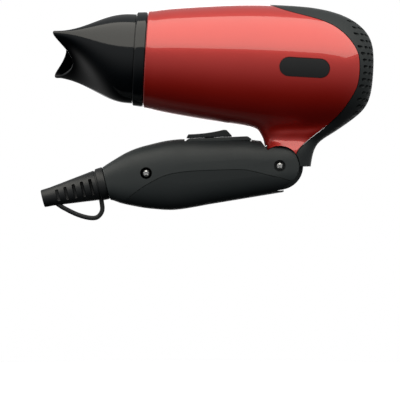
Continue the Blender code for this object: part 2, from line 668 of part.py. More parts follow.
def heater(barrel, finishes):
    add("mica_sleeve", tube(HEATER_START - 3 * MM, HEATER_END + 2 * MM, SLEEVE_RADIUS, SLEEVE_RADIUS - SLEEVE_WALL), barrel, finishes["mica"])
    half, wide = BOARD_THICKNESS / 2, BOARD_HALF_WIDTH
    middle = (HEATER_START + HEATER_END) / 2
    gap = half + CLEARANCE
    flat = add("heater_board_flat", block((HEATER_START, -wide, -half), (HEATER_END, wide, half)), barrel, finishes["mica"])
    cut = block((middle, -gap, -2 * MM), (HEATER_END + 5 * MM, gap, 2 * MM))
    boolean(flat, add("flat_slot", cut, barrel))
    upright = add("heater_board_upright", block((HEATER_START, -half, -wide), (HEATER_END, half, wide)), barrel, finishes["mica"])
    cut = block((HEATER_START - 5 * MM, -2 * MM, -gap), (middle + CLEARANCE, 2 * MM, gap))
    boolean(upright, add("upright_slot", cut, barrel))
    start, end = HEATER_START + 5 * MM, HEATER_END - 5 * MM
    radius = BOARD_HALF_WIDTH + COIL_WIRE_RADIUS + 0.9 * MM
    steps = 12 * COIL_TURNS
    path = []
    for i in range(steps + 1):
        angle = 2 * math.pi * COIL_TURNS * i / steps
        path.append(Vector((start + (end - start) * i / steps, radius * math.cos(angle), radius * math.sin(angle))))
    add("heater_coil", rod(path, COIL_WIRE_RADIUS, COIL_WIRE_RADIUS, 6), barrel, finishes["element"])
    add("thermostat", block((26 * MM, 5 * MM, 0.8 * MM), (37 * MM, 12 * MM, 4.4 * MM)), barrel, finishes["steel"])
    fuse = turned([(24 * MM, 1.0 * MM), (25 * MM, 1.6 * MM), (35 * MM, 1.6 * MM), (36 * MM, 1.0 * MM)], 10)
    add("thermal_fuse", moved(fuse, Vector((0.0, -9 * MM, -2.4 * MM))), barrel, finishes["steel"])


def outlet_grille(barrel, finish):
    start, end, radius = 3.1 * MM, 5.3 * MM, FRONT_RADIUS - 2.4 * MM
    reach = radius - 0.8 * MM
    grille = add("outlet_grille", tube(start, end, radius, radius - 1.4 * MM), barrel, finish)
    upright = [block((start, y - 0.7 * MM, abs(y) * 0.35 - reach), (end, y + 0.7 * MM, reach - abs(y) * 0.35))
               for y in (-9 * MM, 9 * MM)]
    boolean(grille, add("grille_upright_bars", merged(upright), barrel), "UNION")
    level = [block((start, abs(z) * 0.35 - reach, z - 0.7 * MM), (end, reach - abs(z) * 0.35, z + 0.7 * MM))
             for z in (-15 * MM, -5 * MM, 5 * MM, 15 * MM)]
    boolean(grille, add("grille_level_bars", merged(level), barrel), "UNION")


def barrel_leads(finishes):
    for name, side in (("live", -1), ("neutral", 1)):
        knots = [(-21.0, 34.0), (-15.0, 30.5), (-9.2, 26.0), (-6.4, 20.8), (-4.0, 16.5), (-2.4, 13.0), (-1.5, 9.6)]
        points = [Vector((x * MM, side * LEAD_SPREAD, z * MM)) + HINGE for x, z in knots]
        add(f"barrel_lead_{name}", rod(smooth_path(points, 2), LEAD_RADIUS, LEAD_RADIUS), None, finishes[name])


# ---- nozzle -------------------------------------------------------------------------------------


def nozzle_collar(barrel, finish):
    front, back = -COLLAR_LENGTH - CLEARANCE, -CLEARANCE
    bore = NOZZLE_SPIGOT_RADIUS + CLEARANCE
    spigot = FRONT_RADIUS - WALL - 2 * CLEARANCE
    profile = [(front, COLLAR_RADIUS - 0.7 * MM), (front + 0.6 * MM, COLLAR_RADIUS - 0.1 * MM),
               (back - 0.7 * MM, COLLAR_RADIUS + 0.1 * MM), (back, COLLAR_RADIUS - 0.5 * MM),
               (back, spigot), (SPIGOT_LENGTH, spigot), (SPIGOT_LENGTH, spigot - COLLAR_WALL),
               (-0.8 * MM, spigot - COLLAR_WALL), (-1.0 * MM, bore), (front, bore)]
    return add("nozzle_collar", turned(profile, SEGMENTS, closed=True), barrel, finish, 25.0)


def nozzle_ring(share, inset, sides=32):
    """One ring of the nozzle, share of the way from its base to its mouth, in the barrel's frame."""
    base = -COLLAR_LENGTH - 2 * CLEARANCE
    eased = share**1.4
    blend = eased * eased * (3 - 2 * eased)
    wide = NOZZLE_BASE_RADIUS + (MOUTH_HALF_WIDTH - NOZZLE_BASE_RADIUS) * blend - inset
    high = NOZZLE_BASE_RADIUS + (MOUTH_HALF_HEIGHT - NOZZLE_BASE_RADIUS) * blend - inset
    ring = []
    for i in range(sides):
        angle = 2 * math.pi * i / sides
        along, across = math.cos(angle), math.sin(angle)
        scoop = UPPER_SCOOP if across > 0 else LOWER_SCOOP
        reach = NOZZLE_LENGTH - scoop * abs(across) ** 2.2
        y, z = wide * along, high * across
        ring.append(Vector((base - reach * share, y * math.cos(MOUTH_TURN) + z * math.sin(MOUTH_TURN),
                            z * math.cos(MOUTH_TURN) - y * math.sin(MOUTH_TURN))))
    return ring


def concentrator_nozzle(barrel, finish):
    base = -COLLAR_LENGTH - 2 * CLEARANCE
    back = -1.3 * MM
    shares = [i / 7 for i in range(8)]

    def ring_at(station, radius):
        return [Vector((station, p.y, p.z)).lerp(Vector((station, 0, 0)), 1 - radius / NOZZLE_BASE_RADIUS) for p in nozzle_ring(0.0, 0.0)]

    rings = [ring_at(back, NOZZLE_SPIGOT_RADIUS), ring_at(base, NOZZLE_SPIGOT_RADIUS)]
    rings += [nozzle_ring(share, 0.0) for share in shares]
    rings += [nozzle_ring(share, NOZZLE_WALL) for share in shares[:0:-1]]
    rings += [ring_at(back, NOZZLE_SPIGOT_RADIUS - NOZZLE_WALL)]
    return add("concentrator_nozzle", loft(rings, closed=True), barrel, finish, 50.0)


# ---- handle, in the handle's frame at the hinge -------------------------------------------------

HANDLE_TOP = [(-106.0, -0.8), (-104.5, 0.3), (-99.0, 3.8), (-91.8, 8.0), (-84.6, 11.0), (-77.4, 13.0), (-67.8, 15.2),
              (-58.2, 16.2), (-40.0, 16.0), (-20.0, 16.2), (-10.8, 15.2), (2.0, 15.0), (16.0, 15.0)]
HANDLE_BOTTOM = [(-106.0, -19.8), (-104.5, -20.0), (-99.7, -20.5), (-95.0, -22.2), (-84.6, -24.4), (-77.0, -25.5), (-62.4, -26.2),
                 (-40.0, -22.6), (-20.0, -19.3), (3.0, -15.5), (16.0, -13.5)]
HANDLE_WIDTH = [(-106.0, 9.6), (-104.5, 9.9), (-99.0, 11.2), (-92.0, 12.6), (-78.0, 14.2), (-60.0, 15.0), (16.0, 15.0)]
SEAM = [(-97.0, -32.0), (-93.5, -23.2), (-85.2, -15.4), (-71.4, -7.2), (-60.6, -4.2), (-47.4, -3.0), (-23.4, -2.4),
        (-15.0, -3.6), (-3.6, -6.4), (5.0, -8.6), (9.0, -11.0), (24.0, -24.0)]


def handle_form(name, inset, hinge, finish=None):
    """The handle's outside, or its hollow when inset, as a skin over sections along its length."""
    rings = []
    for x in (-107.5, -104.0, -100.5, -97.0, -92.0, -86.0, -79.0, -70.0, -60.0, -46.0, -32.0, -20.5, -4.0, 16.0):
        top = spline_value(HANDLE_TOP, x) * MM - inset
        bottom = spline_value(HANDLE_BOTTOM, x) * MM + inset
        half = spline_value(HANDLE_WIDTH, x) * MM - inset
        ring = []
        for i in range(20):
            angle = 2 * math.pi * (i + 0.5) / 20
            c, s = math.cos(angle), math.sin(angle)
            power = 0.72
            y = half * math.copysign(abs(c) ** power, c)
            z = (top + bottom) / 2 + (top - bottom) / 2 * math.copysign(abs(s) ** power, s)
            ring.append(Vector((x * MM, y, z)))
        rings.append(ring)
    return add(name, loft(rings), hinge, finish)


def handle_guides(hinge, relief):
    guides = {}
    guides["end"] = add("handle_end", block((-60 * MM, -30 * MM, -40 * MM), (0.0, 30 * MM, 40 * MM)), relief)
    guides["outline"] = add("handle_outline", prism(cheek_outline(0.0), 30 * MM), hinge)
    hollow = handle_form("handle_hollow", HANDLE_WALL, hinge)
    boolean(hollow, add("hollow_end", block((-60 * MM, -30 * MM, -40 * MM), (HANDLE_WALL, 30 * MM, 40 * MM)), relief))
    boolean(hollow, add("hollow_front", block((-17.2 * MM, -30 * MM, -60 * MM), (60 * MM, 30 * MM, 60 * MM)), hinge))
    port = block((-22 * MM, -PORT_HALF_WIDTH, -4 * MM), (-11 * MM, PORT_HALF_WIDTH, 4 * MM))
    boolean(hollow, add("handle_port", port, hinge), "UNION")
    hole = turned([(-4 * MM, RELIEF_GROOVE_RADIUS + CLEARANCE), (6 * MM, RELIEF_GROOVE_RADIUS + CLEARANCE)], 24)
    boolean(hollow, add("relief_hole", hole, relief), "UNION")
    guides["hollow"] = hollow
    reach = DRUM_HALF_WIDTH + CHEEK_GAP
    drum_space = turned([(-reach, DRUM_RADIUS + 0.5 * MM), (reach, DRUM_RADIUS + 0.5 * MM)], axis="Y")
    guides["drum"] = add("handle_drum_space", drum_space, hinge)
    seam = [(x * MM, z * MM) for x, z in SEAM]
    low = -70 * MM
    below = seam + [(24 * MM, low), (-97 * MM, low)]
    guides["below"] = add("below_seam", prism(below, 30 * MM), hinge)
    grown = [(x, z + CLEARANCE) for x, z in seam]
    grown[0] = (seam[0][0] - CLEARANCE, seam[0][1])
    grown[1] = (seam[1][0] - CLEARANCE, seam[1][1] + CLEARANCE)
    guides["below grown"] = add("below_seam_grown", prism(grown + [(24 * MM, low), (-97 * MM - CLEARANCE, low)], 30 * MM), hinge)
    return guides


def cut_handle(obj, guides):
    boolean(obj, guides["end"])
    boolean(obj, guides["outline"], "INTERSECT")
    boolean(obj, guides["drum"])
    boolean(obj, guides["hollow"])


def handle_shells(hinge, switch, guides, finish):
    half_opening = (BEZEL_LENGTH / 2 + CLEARANCE, BEZEL_WIDTH / 2 + CLEARANCE)
    opening = block((-half_opening[0], -half_opening[1], -BEZEL_DEPTH - 3 * MM), (half_opening[0], half_opening[1], 8 * MM))
    bezel_space = add("bezel_space", opening, switch)
    spot = Vector((-HANDLE_SCREW_REACH, 0.0, -HANDLE_SCREW_DROP))
    for name, side in (("left", -1), ("right", 1)):
        shell = handle_form(f"handle_{name}", 0.0, hinge, finish)
        other = sorted((-side * 40 * MM, side * CLEARANCE / 2))
        boolean(shell, add(f"handle_{name}_other_half", block((-0.2, other[0], -0.1), (0.1, other[1], 0.1)), hinge))
        cut_handle(shell, guides)
        boss_ends = sorted((side * CLEARANCE / 2, side * 13 * MM))
        boss = turned([(boss_ends[0], 3.8 * MM), (boss_ends[1], 3.8 * MM)], SMALL_SEGMENTS, "Y")
        boolean(shell, add(f"handle_{name}_boss", moved(boss, spot), hinge), "UNION")
        holes = []
        for place in (spot, Vector((0.0, 0.0, 0.0))):
            ends = (-16 * MM, 1 * MM) if side < 0 else (-1 * MM, 11 * MM if place is spot else 13.4 * MM)
            holes.append(moved(turned([(ends[0], 1.7 * MM), (ends[1], 1.7 * MM)], 10, "Y"), place))
            if side > 0:
                continue
            floor = -HANDLE_HALF_WIDTH + SCREW_WELL_DEPTH
            if place is spot:
                floor += 1.0 * MM
            well = turned([(-20 * MM, SCREW_WELL_RADIUS), (floor, SCREW_WELL_RADIUS)], SMALL_SEGMENTS, "Y")
            cutter = add(f"handle_well_{len(holes)}", moved(well, place), hinge)
            boolean(shell, cutter)
        for i, hole in enumerate(holes):
            boolean(shell, add(f"handle_{name}_hole_{i + 1}", hole, hinge))
        boolean(shell, bezel_space)
        boolean(shell, guides["below grown"])


def handle_back(hinge, guides, finish):
    back = handle_form("handle_back", 0.0, hinge, finish)
    cut_handle(back, guides)
    boolean(back, guides["below"], "INTERSECT")


def hinge_parts(hinge, finishes):
    bush = tube(-DRUM_HALF_WIDTH, DRUM_HALF_WIDTH, BUSH_RADIUS, BUSH_BORE, SMALL_SEGMENTS, "Y")
    add("hinge_bush", moved(bush, HINGE), None, finishes["brass"])
    for name, side in (("left", -1), ("right", 1)):
        start = side * (DRUM_HALF_WIDTH + CLEARANCE)
        ends = sorted((start, start + side * WASHER_THICKNESS))
        add(f"hinge_washer_{name}", tube(ends[0], ends[1], WASHER_RADIUS, BUSH_RADIUS + 0.4 * MM, 24, "Y"), hinge, finishes["steel"])
    seat = -HANDLE_HALF_WIDTH + SCREW_WELL_DEPTH - CLEARANCE
    pan_screw("hinge_screw", 23.8 * MM, hinge, finishes["steel"], Vector((0.0, seat, 0.0)))
    spot = Vector((-HANDLE_SCREW_REACH, seat + 1.0 * MM, -HANDLE_SCREW_DROP))
    pan_screw("handle_screw", 19.0 * MM, hinge, finishes["steel"], spot)
    for name, side in (("live", -1), ("neutral", 1)):
        knots = [(-8.8, 0.0), (-13.0, 0.0), (-16.4, 1.0), (-19.0, 4.0), (-20.8, 8.0)]
        points = [Vector((x * MM, side * LEAD_SPREAD, z * MM)) for x, z in knots]
        add(f"handle_lead_{name}", rod(smooth_path(points, 2), LEAD_RADIUS, LEAD_RADIUS), hinge, finishes[name])


def switch_parts(switch, finishes):
    bezel_half = BEZEL_LENGTH / 2
    profile = [(-bezel_half, -BEZEL_DEPTH), (-bezel_half, -1.6 * MM), (-bezel_half + 2.2 * MM, 0.0), (bezel_half - 2.2 * MM, 0.0),
               (bezel_half, -1.6 * MM), (bezel_half, -BEZEL_DEPTH)]
    bezel = add("switch_bezel", prism(profile, BEZEL_WIDTH / 2), switch, finishes["handle"])
    slot_half = STEM_WIDTH / 2 + 0.4 * MM
    start = KNOB_PLACE - STEM_LENGTH / 2 - 0.4 * MM
    end = KNOB_PLACE + STEM_LENGTH / 2 + SWITCH_TRAVEL + 0.4 * MM
    slot = block((start, -slot_half, -20 * MM), (end, slot_half, 5 * MM))
    boolean(bezel, add("bezel_slot", slot, switch))
    top = -BEZEL_DEPTH - CLEARANCE
    half = SWITCH_BODY / 2
    body = add("switch_body", block((-half.x, -half.y, top - SWITCH_BODY.z), (half.x, half.y, top)), switch, finishes["frame"])
    pocket = block((start, -slot_half, top - 2.6 * MM), (end, slot_half, 5 * MM))
    boolean(body, add("body_pocket", pocket, switch))
    outline = [(-KNOB_LENGTH / 2, CLEARANCE), (KNOB_LENGTH / 2, CLEARANCE), (KNOB_LENGTH / 2 - 0.4 * MM, 1.2 * MM), (KNOB_LENGTH / 2 - 3.4 * MM, KNOB_HIGH)]
    steps = 6
    low_x, high_x = -KNOB_LENGTH / 2 + 2.6 * MM, KNOB_LENGTH / 2 - 5.0 * MM
    for i in range(steps + 1):
        t = i / steps
        sag = KNOB_LOW + (KNOB_HIGH - KNOB_LOW) * (1 - t) ** 2.2
        outline.append((high_x + (low_x - high_x) * t, sag))
    outline.append((-KNOB_LENGTH / 2 + 1.0 * MM, KNOB_LOW + 0.1 * MM))
    knob_bm = moved(prism(outline, KNOB_WIDTH / 2), Vector((KNOB_PLACE, 0.0, 0.0)))
    knob = add("switch_knob", knob_bm, switch, finishes["knob"])
    stem = block((KNOB_PLACE - STEM_LENGTH / 2, -STEM_WIDTH / 2, top - 2.2 * MM),
                 (KNOB_PLACE + STEM_LENGTH / 2, STEM_WIDTH / 2, 1.2 * MM))
    boolean(knob, add("knob_stem", stem, switch), "UNION")


def strain_relief(relief, finish):
    tip = -RELIEF_LENGTH
    step = 6.0 * MM
    slope = (RELIEF_BASE_RADIUS - RELIEF_TIP_RADIUS) / (RELIEF_LENGTH - step)
    profile = [(tip, RELIEF_TIP_RADIUS - 0.3 * MM), (tip + 0.3 * MM, RELIEF_TIP_RADIUS), (tip + step, RELIEF_TIP_RADIUS + 0.4 * MM)]
    profile += [(-CLEARANCE - 5 * MM, RELIEF_BASE_RADIUS - slope * 5 * MM), (-CLEARANCE, RELIEF_BASE_RADIUS), (-CLEARANCE, RELIEF_GROOVE_RADIUS),
                (HANDLE_WALL + CLEARANCE, RELIEF_GROOVE_RADIUS), (HANDLE_WALL + CLEARANCE, RELIEF_FLANGE_RADIUS)]
    end = HANDLE_WALL + CLEARANCE + RELIEF_FLANGE_THICKNESS
    profile += [(end, RELIEF_FLANGE_RADIUS)]
    body = add("strain_relief", turned(profile, 20), relief, finish, 30.0)
    knots = [(-33.0, -2.6), (-31.2, -5.6), (-27.2, -9.6), (-21.3, -14.4), (-15.0, -17.9), (-10.2, -18.6), (-6.6, -15.6), (-5.6, -10.6), (-5.6, -6.6)]
    path = smooth_path([Vector((x * MM, 0.0, z * MM)) for x, z in knots], 2)
    boolean(body, add("hang_loop", rod(path, 2.0 * MM, LOOP_THICKNESS / 2), relief), "UNION")
    bore = turned([(tip - 5 * MM, CORD_BORE), (10 * MM, CORD_BORE)], SMALL_SEGMENTS)
    boolean(body, add("cord_bore", bore, relief))
    pockets = []
    for i in range(RELIEF_SLOTS):
        x = -RELIEF_LENGTH + 9.6 * MM + i * RELIEF_SLOT_PITCH
        share = (x + RELIEF_LENGTH) / RELIEF_LENGTH
        radius = RELIEF_TIP_RADIUS + (RELIEF_BASE_RADIUS - RELIEF_TIP_RADIUS) * share
        for side in (-1, 1):
            ends = sorted((side * (CORD_BORE + 1.0 * MM), side * 14 * MM))
            pockets.append(block((x - RELIEF_SLOT_WIDTH / 2, ends[0], -0.5 * radius), (x + RELIEF_SLOT_WIDTH / 2, ends[1], 0.62 * radius)))
    boolean(body, add("relief_slots", merged(pockets), relief))


def build():
    clear_scene()
    finishes = {
        "shell": material("red gloss plastic", (0.50, 0.03, 0.035), 0.22),
        "cover": material("black satin plastic", (0.035, 0.04, 0.043), 0.35),
        "nozzle": material("black gloss plastic", (0.012, 0.014, 0.016), 0.12),
        "handle": material("dark grey satin plastic", (0.035, 0.042, 0.045), 0.42),
        "knob": material("black switch plastic", (0.02, 0.022, 0.025), 0.35),
        "inlay": material("dark inlay plastic", (0.03, 0.03, 0.035), 0.25),
        "relief": material("black rubber", (0.02, 0.022, 0.024), 0.6),
        "steel": material("bright steel", (0.7, 0.7, 0.7), 0.3, 1.0),
        "brass": material("brass", (0.7, 0.5, 0.2), 0.3, 1.0),
        "frame": material("black frame plastic", (0.03, 0.03, 0.03), 0.5),
        "mica": material("mica", (0.62, 0.55, 0.42), 0.5),
        "element": material("heating wire", (0.42, 0.38, 0.34), 0.45, 1.0),
        "board": material("circuit board", (0.10, 0.22, 0.08), 0.5),
        "live": material("brown wire sleeve", (0.16, 0.07, 0.03), 0.5),
        "neutral": material("blue wire sleeve", (0.04, 0.12, 0.4), 0.5),
    }
    front = HINGE + Vector((-BARREL_REACH, 0.0, BARREL_RISE))
    barrel = frame("barrel_axis", front, AXIS_LEAN)
    hinge = frame("hinge_axis", HINGE)
    relief = frame("relief_axis", Vector((-HANDLE_LENGTH, 0.0, -10.0 * MM)), -RELIEF_LEAN, hinge)
    switch = frame("switch_frame", Vector((-SWITCH_REACH, 0.0, SWITCH_RISE)), SWITCH_LEAN, hinge)
    bpy.context.view_layer.update()
    guides = body_guides(barrel)
    housing(barrel, guides, finishes["shell"])
    hinge_knuckle(guides["port"], finishes["cover"])
    rear_cover(barrel, guides, finishes["cover"])
    inlays(barrel, finishes["inlay"])
    for name, side in (("left", -1), ("right", 1)):
        place = Vector((HOUSING_SCREW_STATION, side * (FAN_RADIUS - 3.2 * MM), -INLAY_DROP))
        pan_screw(f"housing_screw_{name}", 3.4 * MM, barrel, finishes["steel"], place, -side)
    air_path(barrel, finishes)
    impeller(barrel, finishes["frame"])
    heater(barrel, finishes)
    outlet_grille(barrel, finishes["frame"])
    barrel_leads(finishes)
    nozzle_collar(barrel, finishes["nozzle"])
    concentrator_nozzle(barrel, finishes["nozzle"])
    handle_cutters = handle_guides(hinge, relief)
    handle_shells(hinge, switch, handle_cutters, finishes["handle"])
    handle_back(hinge, handle_cutters, finishes["handle"])
    hinge_parts(hinge, finishes)
    switch_parts(switch, finishes)
    strain_relief(relief, finishes["relief"])


build()
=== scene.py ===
# %% [markdown]
# # A folding hair dryer, dressed for its portrait
# The dryer's measured frame already exists: every part, its place and the way it moves. This lesson loads that
# frame and gives each surface that shows its real shape and finish. The frame's own solids stay where they are
# inside the dryer, and a detailed piece stands in for each one outside.

# %% Load the measured frame
import json
import math

import bmesh
import bpy
from mathutils import Matrix, Vector

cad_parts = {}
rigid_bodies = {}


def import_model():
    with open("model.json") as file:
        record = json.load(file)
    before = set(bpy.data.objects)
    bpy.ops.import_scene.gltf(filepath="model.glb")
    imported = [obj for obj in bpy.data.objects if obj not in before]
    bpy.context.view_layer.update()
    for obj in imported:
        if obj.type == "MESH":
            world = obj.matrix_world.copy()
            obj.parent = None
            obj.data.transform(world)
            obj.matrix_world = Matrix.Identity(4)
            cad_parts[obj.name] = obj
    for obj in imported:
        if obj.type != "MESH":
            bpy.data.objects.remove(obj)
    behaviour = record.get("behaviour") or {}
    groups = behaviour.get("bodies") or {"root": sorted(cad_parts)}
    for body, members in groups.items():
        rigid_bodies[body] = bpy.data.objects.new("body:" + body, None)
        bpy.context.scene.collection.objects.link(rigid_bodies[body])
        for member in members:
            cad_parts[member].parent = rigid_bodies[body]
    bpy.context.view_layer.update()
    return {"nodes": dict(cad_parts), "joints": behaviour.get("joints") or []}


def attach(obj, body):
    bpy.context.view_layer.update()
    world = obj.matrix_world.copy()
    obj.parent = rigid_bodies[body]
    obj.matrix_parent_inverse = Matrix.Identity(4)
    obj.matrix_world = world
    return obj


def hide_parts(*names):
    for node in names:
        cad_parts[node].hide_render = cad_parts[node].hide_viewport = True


for leftover in list(bpy.data.objects):
    bpy.data.objects.remove(leftover)
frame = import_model()
MM = 0.001

# %% [markdown]
# ## Where things turn
# The barrel leans a little nose up, and the handle folds about a pin below it. Both axes come from the frame's
# joints, so whatever is built here lines up with what moves.

# %% Joint axes and the frames that pieces are built in
joints = {joint["name"]: joint for joint in frame["joints"]}
HINGE = Vector(joints["handle_fold"]["pos_m"])
BARREL_FRONT = Vector(joints["fan_spin"]["pos_m"])
air_way = Vector(joints["fan_spin"]["axis"])
LEAN = math.atan2(air_way.z, -air_way.x)
slide_way = Vector(joints["switch_slide"]["axis"])
SWITCH_LEAN = -math.atan2(slide_way.z, slide_way.x)
RELIEF_LEAN = math.radians(-14.0)


def placed(location, turn):
    """The place of something that was built along X: moved to location and turned about Y."""
    return Matrix.Translation(location) @ Matrix.Rotation(turn, 4, "Y")


BARREL = placed(BARREL_FRONT, LEAN)
HANDLE = placed(HINGE, 0.0)
SWITCH = placed(HINGE + Vector((-36.6, 0.0, 17.1)) * MM, SWITCH_LEAN)
RELIEF = placed(HINGE + Vector((-103.5, 0.0, -10.0)) * MM, RELIEF_LEAN)
print("barrel leans", round(math.degrees(LEAN), 2), "degrees")

# %% [markdown]
# ## The camera
# The dryer is seen square from its side, from far off with a long lens, so that parallel edges stay parallel.
# The camera comes first, because every later choice is judged through it.

# %% Camera
FRAME_WIDTH = 0.240
DISTANCE = 1.6
camera_data = bpy.data.cameras.new("side camera")
camera_data.sensor_width = 36.0
camera_data.lens = camera_data.sensor_width * DISTANCE / FRAME_WIDTH
camera = bpy.data.objects.new("side camera", camera_data)
bpy.context.scene.collection.objects.link(camera)
camera.location = (-0.0041, -DISTANCE, 0.0122)
camera.rotation_euler = (math.radians(90.0), 0.0, 0.0)
bpy.context.scene.camera = camera
print("lens", round(camera_data.lens), "mm")

# %% [markdown]
# ## Working in edit mode from a script
# These helpers do what a hand does at the screen: leave everything else alone, step into edit mode, pick faces
# by where they are, and add, set and apply a modifier.

# %% Selecting and applying


def only(obj):
    """Selects one object and nothing else."""
    for other in bpy.context.view_layer.objects:
        other.select_set(False)
    obj.select_set(True)
    bpy.context.view_layer.objects.active = obj
    return obj


def pick(obj, test, kind="FACE"):
    """In edit mode, selects the faces, edges or points of obj that pass a test, and returns how many."""
    bpy.ops.mesh.select_mode(type=kind)
    bpy.ops.mesh.select_all(action="DESELECT")
    bm = bmesh.from_edit_mesh(obj.data)
    elements = {"FACE": bm.faces, "EDGE": bm.edges, "VERT": bm.verts}[kind]
    chosen = [element for element in elements if test(element)]
    for element in chosen:
        element.select_set(True)
    bm.select_flush_mode()
    bmesh.update_edit_mesh(obj.data)
    return len(chosen)


def finish_with(obj, kind, **settings):
    """Adds a modifier, sets it and applies it."""
    only(obj)
    modifier = obj.modifiers.new(kind.lower(), kind)
    for key, value in settings.items():
        setattr(modifier, key, value)
    bpy.ops.object.modifier_apply(modifier=modifier.name)
    return obj


def smooth_levels(obj, levels):
    return finish_with(obj, "SUBSURF", levels=levels, render_levels=levels)


def cut(obj, cutter, operation="DIFFERENCE", keep=True):
    """Cuts obj with another solid, or joins or crosses them."""
    finish_with(obj, "BOOLEAN", object=cutter, operation=operation, solver="MANIFOLD")
    if not keep:
        bpy.data.objects.remove(cutter)
    return obj


def copy_of(obj, name):
    twin = obj.copy()
    twin.data = obj.data.copy()
    twin.name = name
    bpy.context.scene.collection.objects.link(twin)
    return twin


def settle(obj, place=None):
    """Puts an object's place into its mesh, so that the object itself sits at the origin."""
    if place is not None:
        obj.matrix_world = place @ obj.matrix_world
    only(obj)
    bpy.ops.object.transform_apply(location=True, rotation=True, scale=True)
    return obj


def shade(obj, angle=32.0):
    only(obj)
    bpy.ops.object.shade_smooth_by_angle(angle=math.radians(angle))
    return obj


def rounded(obj, width, segments=2, angle=32.0):
    """Rounds the sharp edges of a finished solid."""
    return finish_with(obj, "BEVEL", width=width, segments=segments, limit_method="ANGLE",
                       angle_limit=math.radians(angle), use_clamp_overlap=True, harden_normals=False)


guides = []


def guide(obj):
    """Marks a solid as a cutting guide, which is thrown away at the end."""
    guides.append(obj)
    obj.hide_render = True
    return obj


# %% [markdown]
# ## Rings, one after another
# Most of a dryer is a tube whose section changes along its length. A circle is extruded again and again, and each
# new ring is moved onto its own list of points.

# %% Growing a tube ring by ring


def ring_of(station, radius, sides, start=-90.0):
    """Points of a circle about X."""
    points = []
    for i in range(sides):
        angle = math.radians(start) + 2 * math.pi * i / sides
        points.append(Vector((station, radius * math.cos(angle), radius * math.sin(angle))))
    return points


def grow(name, rings, close=False):
    """Starts from a circle, then extrudes it once for each further ring, and caps or joins the ends."""
    sides = len(rings[0])
    bpy.ops.object.select_all(action="DESELECT")
    bpy.ops.mesh.primitive_circle_add(vertices=sides, radius=0.01, fill_type="NOTHING" if close else "NGON")
    obj = bpy.context.object
    obj.name = name
    obj.data.name = name
    bpy.ops.object.mode_set(mode="EDIT")
    bm = bmesh.from_edit_mesh(obj.data)
    bm.verts.ensure_lookup_table()
    for vert, point in zip(bm.verts, rings[0]):
        vert.co = point
    seats = {i: i for i in range(sides)}
    for ring in rings[1:]:
        bpy.ops.mesh.extrude_region_move() if not close else bpy.ops.mesh.extrude_edges_move()
        bm = bmesh.from_edit_mesh(obj.data)
        bm.verts.index_update()
        taken = {}
        for vert in [v for v in bm.verts if v.select]:
            below = next(e.other_vert(vert) for e in vert.link_edges if not e.other_vert(vert).select)
            taken[vert.index] = seats[below.index]
            vert.co = ring[seats[below.index]]
        seats = taken
        bmesh.update_edit_mesh(obj.data)
    if close:
        count = len(rings)
        pick(obj, lambda edge: all(v.index < sides or v.index >= sides * (count - 1) for v in edge.verts), "EDGE")
        bpy.ops.mesh.bridge_edge_loops()
    bpy.ops.mesh.select_all(action="SELECT")
    bpy.ops.mesh.normals_make_consistent(inside=False)
    bpy.ops.object.mode_set(mode="OBJECT")
    return obj


def slab(name, low, high):
    """A box between two corners."""
    low, high = Vector(low) * MM, Vector(high) * MM
    bpy.ops.object.select_all(action="DESELECT")
    bpy.ops.mesh.primitive_cube_add(size=1.0, location=(low + high) / 2)
    obj = bpy.context.object
    obj.name = name
    obj.scale = high - low
    bpy.ops.object.transform_apply(location=True, rotation=True, scale=True)
    return obj


def drum(name, radius, low, high, sides=64, place=None):
    """A cylinder about Y between two distances, in millimetres."""
    bpy.ops.object.select_all(action="DESELECT")
    bpy.ops.mesh.primitive_cylinder_add(vertices=sides, radius=radius * MM, depth=(high - low) * MM,
                                        location=(0, (high + low) / 2 * MM, 0), rotation=(math.radians(90), 0, 0))
    obj = bpy.context.object
    obj.name = name
    settle(obj, place)
    return obj


def sheet_cutter(name, outline, half_width, place=None):
    """A side outline in millimetres, extruded across the dryer into a solid."""
    bpy.ops.object.select_all(action="DESELECT")
    bpy.ops.mesh.primitive_circle_add(vertices=len(outline), radius=0.01, fill_type="NGON")
    obj = bpy.context.object
    obj.name = name
    bpy.ops.object.mode_set(mode="EDIT")
    bm = bmesh.from_edit_mesh(obj.data)
    bm.verts.ensure_lookup_table()
    for vert, (x, z) in zip(bm.verts, outline):
        vert.co = Vector((x, -half_width, z)) * MM
    bmesh.update_edit_mesh(obj.data)
    bpy.ops.mesh.extrude_region_move(TRANSFORM_OT_translate={"value": (0, 2 * half_width * MM, 0)})
    bpy.ops.mesh.select_all(action="SELECT")
    bpy.ops.mesh.normals_make_consistent(inside=False)
    bpy.ops.object.mode_set(mode="OBJECT")
    settle(obj, place)
    return obj


def curve_through(points, per_span):
    """A smooth line through points, with per_span steps between each two."""
    points = [Vector(p) for p in points]
    ends = [2 * points[0] - points[1], *points, 2 * points[-1] - points[-2]]
    line = []
    for a, b, c, d in zip(ends, ends[1:], ends[2:], ends[3:]):
        for i in range(per_span):
            t = i / per_span
            line.append(0.5 * (2 * b + (c - a) * t + (2 * a - 5 * b + 4 * c - d) * t**2
                               + (3 * b - a - 3 * c + d) * t**3))
    return line + [points[-1]]


def height_at(points, x):
    """The height at x of a smooth line through (x, height) points."""
    for i in range(len(points) - 1):
        if x <= points[i + 1][0] or i == len(points) - 2:
            break
    (x0, y0), (x1, y1) = points[i], points[i + 1]
    before = points[i - 1] if i else (2 * x0 - x1, 2 * y0 - y1)
    after = points[i + 2] if i + 2 < len(points) else (2 * x1 - x0, 2 * y1 - y0)
    slope0 = (y1 - before[1]) / (x1 - before[0])
    slope1 = (after[1] - y0) / (after[0] - x0)
    span, t = x1 - x0, (x - x0) / (x1 - x0)
    return ((2 * t**3 - 3 * t**2 + 1) * y0 + (t**3 - 2 * t**2 + t) * span * slope0
            + (3 * t**2 - 2 * t**3) * y1 + (t**3 - t**2) * span * slope1)


